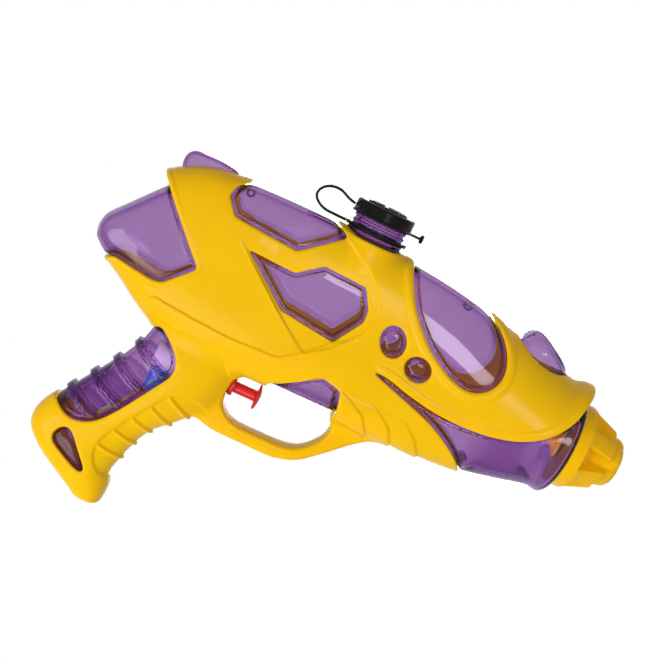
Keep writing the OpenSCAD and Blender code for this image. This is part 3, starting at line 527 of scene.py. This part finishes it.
# Painted shade: the violet is painted deeper where the wall turns away from the eye, standing in for the
# longer path of light through the wall.
turned_away = violet.node_tree.nodes.new("ShaderNodeLayerWeight")
turned_away.inputs["Blend"].default_value = 0.5
edge_shade_ramp = violet.node_tree.nodes.new("ShaderNodeMapRange")
edge_shade_ramp.inputs["From Min"].default_value = 0.4
edge_shade_ramp.inputs["From Max"].default_value = 0.85
painted_edge_shade = violet.node_tree.nodes.new("ShaderNodeMixRGB")
painted_edge_shade.inputs["Color2"].default_value = (0.24, 0.05, 0.46, 1)
violet.node_tree.links.new(turned_away.outputs["Facing"], edge_shade_ramp.inputs["Value"])
violet.node_tree.links.new(edge_shade_ramp.outputs["Result"], painted_edge_shade.inputs["Fac"])
violet.node_tree.links.new(glass.inputs["Base Color"].links[0].from_socket, painted_edge_shade.inputs["Color1"])
violet.node_tree.links.new(painted_edge_shade.outputs["Color"], glass.inputs["Base Color"])
dye = violet.node_tree.nodes.new("ShaderNodeVolumeAbsorption")
dye.inputs["Color"].default_value = (0.60, 0.10, 0.673, 1)
dye.inputs["Density"].default_value = 300
violet.node_tree.links.new(dye.outputs[0], violet.node_tree.nodes["Material Output"].inputs["Volume"])

MIRROR = (1, -1, 1)
tank_step = 0.95
spots, faces = halved(tank_shape, *moulded(tank_shape, (-288, -31.2, -120), (-28, 2.4, 58), tank_step))
near_half = placed("tank_shell_right", spots, faces, violet, "gun", "clear_tank", ["tank_right"])
far_half = placed("tank_shell_left", spots * MIRROR, [f[::-1] for f in faces], violet, "gun", "clear_tank",
                  ["tank_left"])
# Lamp light passes through the clear halves, so that what lies behind them is lit.
near_half.visible_shadow = False
far_half.visible_shadow = False


# Pump: a milky cylinder behind the trigger, with a blue ball valve below and a blue elbow above.
# The red trigger is turned in one with its rod and piston, and slides in a red guide in the tank's snout.
def spun(profile, axis, n=96):
    """Points and faces of a turned form, from a profile of radius and place that closes or ends at 0."""
    p = np.array(profile, float)
    solid = p[0, 0] == 0
    ring = p[1:-1] if solid else p
    a = 2 * math.pi * np.arange(n) / n
    r, t = ring[:, :1], np.repeat(ring[:, 1:], n, 1)
    side, up = r * np.cos(a), r * np.sin(a)
    lay = {"x": lambda s, u, v: (v, s, u + PUMP_Z), "z": lambda s, u, v: (s + NECK_X, u, v),
           "barrel": lambda s, u, v: (v, s, u)}[axis]
    points = np.stack(lay(side, up, t), 2).reshape(-1, 3).tolist()
    m = len(ring)
    faces = [(i * n + k, i * n + (k + 1) % n, (i + 1) % m * n + (k + 1) % n, (i + 1) % m * n + k)
             for i in range(m - solid) for k in range(n)]
    if solid:
        points += [lay(0, 0, p[0, 1]), lay(0, 0, p[-1, 1])]
        faces += [(m * n, (k + 1) % n, k) for k in range(n)]
        faces += [(m * n + 1, (m - 1) * n + k, (m - 1) * n + (k + 1) % n) for k in range(n)]
    return np.array(points), faces


def through(points, n):
    """A smooth line through a row of points."""
    p = np.array(points, float)
    a, d = np.vstack([p[:1], p[:-2]]), np.vstack([p[2:], p[-1:]])
    b, c = p[:-1], p[1:]
    second, third = 2 * a - 5 * b + 4 * c - d, 3 * b - a - 3 * c + d
    out = [0.5 * (2 * b + (c - a) * u + second * u * u + third * u ** 3) for u in np.arange(n) / n]
    return np.vstack([np.stack(out, 1).reshape(-1, p.shape[1]), p[-1:]])


def baked(made):
    """The object with its nodes worked out into a plain mesh."""
    mesh = bpy.data.meshes.new_from_object(made.evaluated_get(bpy.context.evaluated_depsgraph_get()))
    made.modifiers.clear()
    made.data = mesh
    tidy_faces(mesh)
    return made


def drawn(name, path, wide, high, finish):
    """A round or flat strand along a path, made by nodes with its width and height as inputs."""
    line = bpy.data.meshes.new(name)
    line.from_pydata((np.asarray(path) * MM).tolist(), [(i, i + 1) for i in range(len(path) - 1)], [])
    made = set_in_scene(name, line)
    tree = bpy.data.node_groups.new(name + "_nodes", "GeometryNodeTree")
    tree.interface.new_socket("Geometry", in_out="INPUT", socket_type="NodeSocketGeometry")
    width = tree.interface.new_socket("Width", in_out="INPUT", socket_type="NodeSocketFloat")
    height = tree.interface.new_socket("Height", in_out="INPUT", socket_type="NodeSocketFloat")
    tree.interface.new_socket("Geometry", in_out="OUTPUT", socket_type="NodeSocketGeometry")
    enter, leave = tree.nodes.new("NodeGroupInput"), tree.nodes.new("NodeGroupOutput")
    curve = tree.nodes.new("GeometryNodeMeshToCurve")
    section = tree.nodes.new("GeometryNodeCurvePrimitiveQuadrilateral")
    soft = tree.nodes.new("GeometryNodeFilletCurve")
    soft.mode = "POLY"
    soft.inputs["Count"].default_value = 5
    soft.inputs["Limit Radius"].default_value = True
    half = tree.nodes.new("ShaderNodeMath")
    half.operation = "MULTIPLY"
    half.inputs[1].default_value = 0.498
    sweep = tree.nodes.new("GeometryNodeCurveToMesh")
    sweep.inputs["Fill Caps"].default_value = True
    whole = tree.nodes.new("GeometryNodeRealizeInstances")
    coat = tree.nodes.new("GeometryNodeSetMaterial")
    coat.inputs["Material"].default_value = finish
    tree.links.new(enter.outputs[0], curve.inputs[0])
    tree.links.new(enter.outputs[1], section.inputs["Width"])
    tree.links.new(enter.outputs[2], section.inputs["Height"])
    tree.links.new(enter.outputs[2], half.inputs[0])
    tree.links.new(section.outputs[0], soft.inputs["Curve"])
    tree.links.new(half.outputs[0], soft.inputs["Radius"])
    tree.links.new(curve.outputs[0], sweep.inputs["Curve"])
    tree.links.new(soft.outputs[0], sweep.inputs["Profile Curve"])
    tree.links.new(sweep.outputs[0], whole.inputs[0])
    tree.links.new(whole.outputs[0], coat.inputs["Geometry"])
    tree.links.new(coat.outputs[0], leave.inputs[0])
    work = made.modifiers.new("drawn", "NODES")
    work.node_group = tree
    work[width.identifier] = wide * MM
    work[height.identifier] = high * MM
    return baked(made)


def finished(node, finish):
    """A CAD node that is kept as it is, in its finish."""
    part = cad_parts[node]
    part.data.materials.clear()
    part.data.materials.append(finish)


red = surface("red_plastic", (0.62, 0.012, 0.014), (0.55, 0.009, 0.011), (0.22, 0.34), 1200, 0.03)
tuned(red, {"Specular IOR Level": 0.3})
blue = surface("blue_plastic", (0.012, 0.17, 0.62), (0.01, 0.14, 0.55), (0.25, 0.38), 1200, 0.03)
milky = surface("milky_plastic", (0.80, 0.82, 0.84), (0.74, 0.77, 0.80), (0.32, 0.45), 900, 0.03)
tuned(milky, {"Subsurface Weight": 0.4, "Subsurface Scale": 0.002})
rubber = surface("black_rubber", (0.02, 0.02, 0.02), (0.03, 0.03, 0.03), (0.6, 0.75), 1500, 0.1)
steel = surface("bright_steel", (0.62, 0.63, 0.65), (0.54, 0.55, 0.57), (0.2, 0.35), 1800, 0.05)
tuned(steel, {"Metallic": 1.0})
for node, finish in (("pump_cylinder", milky), ("inlet_valve", blue), ("outlet_elbow", blue),
                     ("piston_seal", rubber), ("inlet_ball", steel), ("outlet_ball", steel)):
    finished(node, finish)

button = [(0, -210.3), (5.0, -210.3), (5.4, -209.9), (5.4, -208.8), (3.5, -208.75), (3.5, -206.85),
          (5.4, -206.8), (5.4, -205.7), (5.0, -205.3), (2.9, -205.3), (2.9, -181.0), (3.1, -180.7),
          (3.7, -180.45), (6.3, -180.3), (6.8, -179.8), (6.7, -179.2), (5.9, -178.6), (3.4, -177.8),
          (1.6, -177.55), (0, -177.5)]
placed("trigger_button", *spun(button, "x"), red, "trigger", "trigger_red", ["trigger"], 38, True)
guide = eased([(3.0, -204.8), (4.4, -204.8), (4.4, -194.3), (5.0, -194.3), (5.0, -191.9), (3.0, -191.9)],
              0.3)
placed("guide_collar", *spun(guide, "x"), red, "gun", "trigger_red", ["rod_guide"], 38, True)

TURNS, SPRING_BACK, SPRING_LONG, SPRING_R, WIRE = 7, -231.45, 20.6, 4.35, 0.9
turns = np.linspace(0, TURNS, TURNS * 28 + 1)
coil = np.stack([SPRING_BACK + SPRING_LONG * turns / TURNS, SPRING_R * np.cos(2 * math.pi * turns),
                 PUMP_Z + SPRING_R * np.sin(2 * math.pi * turns)], 1)
spring = drawn("spring_coil", coil, WIRE, WIRE, steel)
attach(spring, "gun")
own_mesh(spring)
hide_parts("return_spring")

ROUTES = {
    "outlet_hose": (6.0, [(-220.3, 0, -24.5), (-211.3, 0, -24.5), (-198, 0, -22), (-180, 0, -16.5),
                          (-160, 0, -13), (-140, 0, -9), (-120, 0, -5), (-100, 0, -3), (-75, 0, -2.5),
                          (-60, 0, -0.6), (-46.8, 0, 0), (-38, 0, 0)]),
    "suction_tube": (4.6, [(-229.5, 0, -62.3), (-229.5, 0, -68.2), (-231, 0, -78), (-235.5, 0, -93),
                           (-241, 0, -108)]),
}
for node, (wide, route) in ROUTES.items():
    tube = drawn(node + "_run", through(route, 6), wide, wide, milky)
    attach(tube, "gun")
    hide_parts(node)

# Filler: a clear neck with two beads is pressed into the socket and carries a black ring on its flange.
# Ring, strap and cap are one soft black moulding; the cap pushes over the neck and has a lift tab and knob.
black = surface("black_gloss", (0.006, 0.006, 0.0065), (0.004, 0.004, 0.0045), (0.16, 0.30), 1200, 0.03)
tuned(black, {"Specular IOR Level": 0.08})
NECK_R, BEAD_R = 13.2, 0.85
arc = np.radians(np.arange(-80, 81, 20))
beads = [(NECK_R + BEAD_R * math.cos(t), at + BEAD_R * math.sin(t)) for at in (57.5, 60.0) for t in arc]
neck = [(11.2, 46.6), (SLEEVE_R, 46.6), (SLEEVE_R, SOCKET_TOP), (14.3, SOCKET_TOP), (SOCKET_R, 52.9),
        (SOCKET_R, 53.7), (14.3, 54.0), (NECK_R, 54.1), *beads, (NECK_R, 65.2), (12.9, 65.8), (12.4, 66),
        (11.6, 66), (11.2, 65.7)]
placed("neck_sleeve", *spun(neck, "z", 128), violet, "gun", "clear_tank", ["filler_neck"], 38, True)
ring = eased([(13.4, 54.1), (16.4, 54.1), (16.4, 55.9), (13.4, 55.9)], 0.7)
placed("neck_ring", *spun(ring, "z", 128), black, "gun", "black_cap", ["tether_ring"], 38, True)

strap_line = through([(-176.96, 0, 55.0), (-183, 0, 55.0), (-189, 0, 55.4), (-193.5, 0, 57.7),
                      (-195.3, 0, 61), (-193.8, 0, 64.5), (-190, 0, 66.8), (-185, 0, 67), (-180, 0, 65),
                      (-176.2, 0, 64.1)], 8)
strap = drawn("cap_strap", strap_line, 5.0, 1.3, black)
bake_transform(strap)
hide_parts("tether_strap")


def cap_shape(x, y, z):
    """Distance from the cap: a hollow disc with a brim, a raised ring in three parts, a tab and a knob."""
    r = np.sqrt((x - NECK_X) ** 2 + y ** 2)
    level, knob = np.abs(z - 61.7), np.abs(x - NECK_X - 21.3) - 0.9
    disc = trim(r - 15.4, np.maximum(z - 68.1, 61.1 - z), 1.4)
    disc = merge(disc, trim(r - 16.0, level - 0.6, 0.5), 0.4)
    turn = np.arctan2(y, x - NECK_X)
    rim = trim(np.abs(r - 9.3) - 1.0, z - 69.0, 0.6)
    rim = trim(rim, 0.9 - r * np.abs(np.sin(1.5 * (turn + 0.5))) / 1.5, 0.4)
    disc = merge(disc, np.maximum(rim, 66.5 - z), 0.4)
    disc = merge(disc, np.maximum(trim(r - 6.5, z - 68.5, 0.5), 66.5 - z), 0.3)
    disc = np.maximum(disc, -trim(r - 14.0, z - 66.3, 0.6))
    tab = trim(np.maximum(np.abs(x - NECK_X - 18.6) - 3.6, np.abs(y) - 1.4), level - 0.6, 0.5)
    bar = trim(np.maximum(knob, np.abs(y) - 2.4), level - 0.6, 0.5)
    pin = trim(np.maximum(knob, np.abs(y) - 0.9), level - 2.1, 0.5)
    return merge(merge(disc, tab, 0.6), np.minimum(bar, pin), 0.4)


cap_step = 0.4
cap_mould = moulded(cap_shape, (-177.5, -16.9, 58.6), (-137, 16.9, 69.6), cap_step)
placed("cap_cover", *cap_mould, black, "cap", "black_cap", ["filler_cap"])

# Nozzle: a yellow moulding with six broad grip ribs and a fine jet hole, pressed through the tank's front.
# A rubber washer seals it against the wall, and the hose is pushed over the stem inside.
CORE = eased([(-29.8, 22.3), (-22, 22.3), (-22, 17.3), (-17, 13.8), (-16.6, 12), (-3, 12), (-1, 11), (0, 9),
              (0, -9), (-47.8, -9), (-47.8, 2.2), (-37.8, 2.2), (-37.8, 5.3), (-34.1, 5.3), (-34.1, 9.3),
              (-32.1, 9.3), (-32.1, 6.8), (-29.8, 6.8)], 0.7)
FULL = eased([(-27, 22), (-21, 22), (-19, 20.5), (-7, 16), (-6.4, 13.4), (-3, 13), (-1, 11.8), (-0.5, 10.6),
              (-0.5, 4), (-27, 4)], 0.9)


def nozzle_shape(x, y, z):
    """Distance from the nozzle: a turned core with six ribs, less the jet, its feed and a groove."""
    r = np.sqrt(y ** 2 + z ** 2)
    body = outside(CORE, x, r)
    turn = (np.arctan2(y, z) + math.pi / 6) % (math.pi / 3) - math.pi / 6
    ribs = trim(outside(FULL, x, r), np.abs(r * np.sin(turn)) - 4.5, 0.9)
    body = merge(body, ribs, 0.8)
    body = np.maximum(body, -np.maximum(r - 0.8, -9 - x))
    body = np.maximum(body, -np.maximum(r - 1.2, x + 8))
    return np.maximum(body, -np.maximum(np.maximum(6.8 - r, r - 10.2), np.abs(x + 29.4) - 0.6))


yellow = surface("yellow_plastic", (0.95, 0.53, 0.002), (0.92, 0.50, 0.002), (0.16, 0.24), 1400, 0.03)
tuned(yellow, {"Specular IOR Level": 0.08, "Subsurface Weight": 0.3, "Subsurface Scale": 0.006,
               "Subsurface Radius": (1.0, 0.7, 0.2)})
nozzle_step = 0.45
nozzle_mould = moulded(nozzle_shape, (-48.3, -23.2, -23.2), (0.6, 23.2, 23.2), nozzle_step)
placed("nozzle_head", *nozzle_mould, yellow, "gun", "cover", ["nozzle"], 40)
washer = eased([(6.9, -30), (10, -30), (10, -28.9), (6.9, -28.9)], 0.3)
placed("front_washer", *spun(washer, "barrel"), rubber, "gun", "seal_rubber", ["nozzle_washer"], 38, True)

# Cover: a bright yellow open moulding in two halves that clamp the tank and are screwed from the left.
# Pillars, hood and belt stand proud; the fairing has feathers, the grip has finger ribs and a round heel.
CREST = [(-290, 8), (-264, 8), (-255, 4.5), (-245, 2.2), (-234, 0.8), (-222, 1.2), (-212, 0), (-26, 0)]
PANEL = eased([(-228, 46), (-236.5, 40.5), (-212, 20.5), (-190, 3), (-170, -11.5), (-158, -3), (-147, 10),
               (-144, 20), (-148, 30), (-158, 39), (-171, 46.8), (-180, 50)], 2.5)
RIDGE = [(-219, 26.2), (-212, 20.5), (-190, 3), (-169.7, -11)]
BELT = eased([(-249, -24.5), (-248, -18.5), (-245.3, -16.3), (-225.6, -18.3), (-204, -19.5),
              (-179.6, -18.3), (-169, -10.6), (-158.7, -0.3), (-148, 6), (-136, -5.4), (-155.1, -17.1),
              (-164.2, -25.1), (-173.6, -31.6), (-176, -40), (-196, -40), (-202.2, -31.1), (-216.7, -27),
              (-229.2, -27.4), (-238.2, -26.4), (-244.4, -24.7)], 1.5)
HOOD = eased([(-140, 4), (-132, -3), (-115, -8), (-100, -11), (-80, -12), (-60, -8), (-44, 2), (-30, 22),
              (-22, 36), (-24, 60), (-80, 20), (-130, 24)], 2)
HOLLOW = eased([(-219.3, -59.2), (-212, -56.5), (-200, -60), (-186, -80), (-200, -112), (-229, -113.5),
                (-236, -112), (-241, -106), (-242.8, -98.9), (-240, -91), (-232, -78)], 4)
FEATHERS = [[(-143.4, -20.2), (-130, -27), (-123.5, -37)], [(-128, -19), (-116.1, -26.8), (-110, -37)],
            [(-109, -21), (-101, -28), (-95, -36.5)]]
GUARD_HOLE = eased([(-188, -30), (-194.5, -40), (-195.8, -49), (-193.5, -56), (-186, -61.8), (-157, -61.8),
                    (-148.5, -59), (-140.5, -50), (-139.3, -43), (-142, -30)], 7)
GUARD_RIM = eased([(-214, -28), (-214, -58), (-204, -66.5), (-194, -69.2), (-160, -69.6), (-148, -66),
                   (-137, -56.5), (-126, -46), (-112, -36), (-112, -28)], 5)
SCREWS = [(-131, -43.5), (-205, -63), (-237, -124)]
COVER_GAP, GUARD_FRONT = 1.4, -170


def cover_rise(x, z):
    """How far the cover's outside stands off the tank's shown surface, read from the side."""
    hollow = outside(HOLLOW, x, z)
    faded = step_up(x + 206, 12) * (1 - step_up(z - 22, 14))
    rise = 1.4 - 1.2 * step_up(outside(PANEL, x, z), 1.0) * (1 - faded) - 1.1 * step_up(hollow, 1.2)
    ribs, ridge = 1e9, 1e9
    for k in range(5):
        a = math.radians(32 - 4 * k)
        along, down = x + 214 + 4.6 * k, z + 63.5 + 9.2 * k
        ribs = np.minimum(ribs, np.abs(along * math.sin(a) + down * math.cos(a)))
    rise = rise + 1.3 * step_up(np.maximum(ribs - 0.9, hollow + 0.4), 1.2)
    for (x0, z0), (x1, z1) in zip(RIDGE, RIDGE[1:]):
        dx, dz = x1 - x0, z1 - z0
        t = np.clip(((x - x0) * dx + (z - z0) * dz) / (dx * dx + dz * dz), 0, 1)
        ridge = np.minimum(ridge, np.hypot(x - x0 - t * dx, z - z0 - t * dz))
    rise = rise + 0.7 * step_up(ridge - 0.4, 0.8)
    rise = rise + 1.1 * step_up(outside(BELT, x, z), 0.8) * step_up(x + 152, 22)
    deep = step_up(z + 22, 12)
    for line in FEATHERS:
        area = eased(line + [(line[2][0], -60), (-146, -60), (-146, line[0][1])], 1.5)
        rise = rise + 1.0 * deep * step_up(outside(area, x, z), 0.8)
    rise = rise + 0.7 * step_up(np.abs(outside(OUTLINES["front"], x, z) - 2.6) - 1.7, 2.2)
    rise = rise + 0.5 * step_up(np.abs(outside(OUTLINES["rear"], x, z) - 1.6) - 0.9, 1.4)
    lip = step_up(outside(OUTLINES["nose"], x, z) - 4.5, 1.8)
    return rise + 0.6 * lip * step_up(outside(HOOD, x, z), 3)


def cover_shape(x, y, z):
    """Distance from the cover's wall with its saddle, posts and guard, less windows and the tank's room."""
    over = skin(x, y, z)
    rise = cover_rise(x, z)
    shell = trim(skin(x, y, z, CREST) - rise, np.clip(rise - 2.0, -1.4, -0.6) - over, 0.3)
    neck = np.sqrt((x - NECK_X) ** 2 + y ** 2)
    saddle = trim(neck - 17.8, np.maximum(z - 50.6, 36 - z), 1.2)
    shell = merge(shell, np.maximum(saddle, -(over + COVER_GAP)), 2.5)
    shell = trim(shell, -window_gap(x, z), 1.2)
    shell = trim(shell, -np.maximum(sight_foot(x, y) - 0.8, 20 - z), 1.2)
    for cx, cz in SCREWS:
        shell = np.minimum(shell, np.maximum(np.sqrt((x - cx) ** 2 + (z - cz) ** 2) - 4.8, over - 0.2))
    ring = trim(outside(GUARD_RIM, x, z), -outside(GUARD_HOLE, x, z), 1.0)
    shell = merge(shell, trim(ring, np.abs(y) - 6.6, 3.0), 4.0)
    limit = np.minimum(outside(TANK_GRIP, x, z), BODY_LOW - z)
    shell = np.maximum(shell, -np.maximum(over + COVER_GAP, limit - 0.4))
    shell = np.maximum(shell, -np.maximum(neck - SOCKET_R - 0.4, 38 - z))
    pump = np.sqrt(y ** 2 + (z - PUMP_Z) ** 2)
    for radius, back in ((6.0, SNOUT_BACK), (7.5, -192.3)):
        shell = np.maximum(shell, -np.maximum(pump - radius, np.maximum(back - x, x - GUARD_FRONT)))
    return np.maximum(shell, y - PAST_SEAM)


def welled_shape(x, y, z):
    """The same wall with a well and a hole for each screw."""
    shell = cover_shape(x, y, z)
    for cx, cz in SCREWS:
        r = np.sqrt((x - cx) ** 2 + (z - cz) ** 2)
        shell = np.maximum(shell, -np.minimum(np.maximum(r - 3.0, y + 3.6), r - 1.45))
    return shell


cover_step = 0.75
lining = surface("yellow_inside", (0.98, 0.50, 0.002), (0.95, 0.47, 0.002), (0.55, 0.65), 1400, 0.03)
guard_face = surface("yellow_guard_face", (0.98, 0.50, 0.002), (0.95, 0.47, 0.002), (0.5, 0.6), 1400, 0.03)
for finish, sheen in ((lining, 0.02), (guard_face, 0.2)):
    tuned(finish, {"Specular IOR Level": sheen, "Subsurface Weight": 1.0, "Subsurface Scale": 0.02,
                   "Subsurface Radius": (1.0, 0.5, 0.08)})


def lined(shell):
    """Gives the wall's inside, which glows where light comes through, and the guard's face their finishes."""
    mid = np.empty(3 * len(shell.data.polygons))
    shell.data.polygons.foreach_get("center", mid)
    x, y, z = mid.reshape(-1, 3).T / MM
    way = np.empty(3 * len(shell.data.polygons))
    shell.data.polygons.foreach_get("normal", way)
    by_finger = (outside(GUARD_HOLE, x, z) < 0.6) & (np.abs(way[1::3]) < 0.5)
    inside = np.where(skin(x, y, z) < -0.35, 1, np.where(by_finger, 2, 0))
    shell.data.materials.append(lining)
    shell.data.materials.append(guard_face)
    shell.data.polygons.foreach_set("material_index", inside.astype(np.int32))


COVER_LOW, COVER_HIGH = (-281, -33, -134), (-25, 2.4, 56)
spots, faces = halved(cover_shape, *moulded(cover_shape, COVER_LOW, COVER_HIGH, cover_step))
lined(placed("cover_shell_right", spots, faces, yellow, "gun", "cover", ["cover_right"]))
spots, faces = halved(welled_shape, *moulded(welled_shape, COVER_LOW, COVER_HIGH, cover_step))
faces = [f[::-1] for f in faces]
lined(placed("cover_shell_left", spots * MIRROR, faces, yellow, "gun", "cover", ["cover_left"]))


# Screws: three bright steel self-tapping screws with cross heads, sunk in wells in the cover's left half.
# They cut their own thread in posts of the right half.
def screw_shape(x, y, z):
    """Distance from one screw along y, with its head, thread and cross recess."""
    r = np.sqrt(x ** 2 + z ** 2)
    top = trim(np.sqrt(r ** 2 + (y - 0.6) ** 2) - 4.8, np.maximum(r - 2.6, 3.6 - y), 0.3)
    thread = 1.12 + 0.16 * np.sin(np.arctan2(z, x) + 2 * math.pi * y / 1.1)
    shank = np.maximum(r - np.minimum(thread, 0.4 + 0.5 * (y + 5.4)), np.maximum(y - 4, -5.4 - y))
    cross = np.minimum(np.maximum(np.abs(x) - 0.4, np.abs(z) - 1.6),
                       np.maximum(np.abs(z) - 0.4, np.abs(x) - 1.6))
    return np.maximum(np.minimum(top, shank), -np.maximum(cross, 4.2 - y))


screw_step = 0.2
spots, quads = moulded(screw_shape, (-3, -5.8, -3), (3, 5.8, 3), screw_step)
screw_mesh = bpy.data.meshes.new("screws")
screw_mesh.from_pydata((spots * MM).tolist(), [], quads.tolist())
screws = set_in_scene("cross_screws", screw_mesh)
tree = bpy.data.node_groups.new("screw_nodes", "GeometryNodeTree")
tree.interface.new_socket("Geometry", in_out="INPUT", socket_type="NodeSocketGeometry")
sockets = [tree.interface.new_socket("Place %d" % k, in_out="INPUT", socket_type="NodeSocketVector")
           for k in (1, 2, 3)]
tree.interface.new_socket("Geometry", in_out="OUTPUT", socket_type="NodeSocketGeometry")
enter, leave = tree.nodes.new("NodeGroupInput"), tree.nodes.new("NodeGroupOutput")
one = tree.nodes.new("GeometryNodeGeometryToInstance")
posts = tree.nodes.new("GeometryNodeJoinGeometry")
for k in (1, 2, 3):
    post = tree.nodes.new("GeometryNodePoints")
    tree.links.new(enter.outputs[k], post.inputs["Position"])
    tree.links.new(post.outputs[0], posts.inputs[0])
spread = tree.nodes.new("GeometryNodeInstanceOnPoints")
whole = tree.nodes.new("GeometryNodeRealizeInstances")
coat = tree.nodes.new("GeometryNodeSetMaterial")
coat.inputs["Material"].default_value = steel
tree.links.new(enter.outputs[0], one.inputs[0])
tree.links.new(posts.outputs[0], spread.inputs["Points"])
tree.links.new(one.outputs[0], spread.inputs["Instance"])
tree.links.new(spread.outputs[0], whole.inputs[0])
tree.links.new(whole.outputs[0], coat.inputs["Geometry"])
tree.links.new(coat.outputs[0], leave.inputs[0])
work = screws.modifiers.new("set", "NODES")
work.node_group = tree
for socket, (cx, cz) in zip(sockets, SCREWS):
    work[socket.identifier] = (cx * MM, 0, cz * MM)
baked(screws)
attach(screws, "gun")
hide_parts("cover_screws")
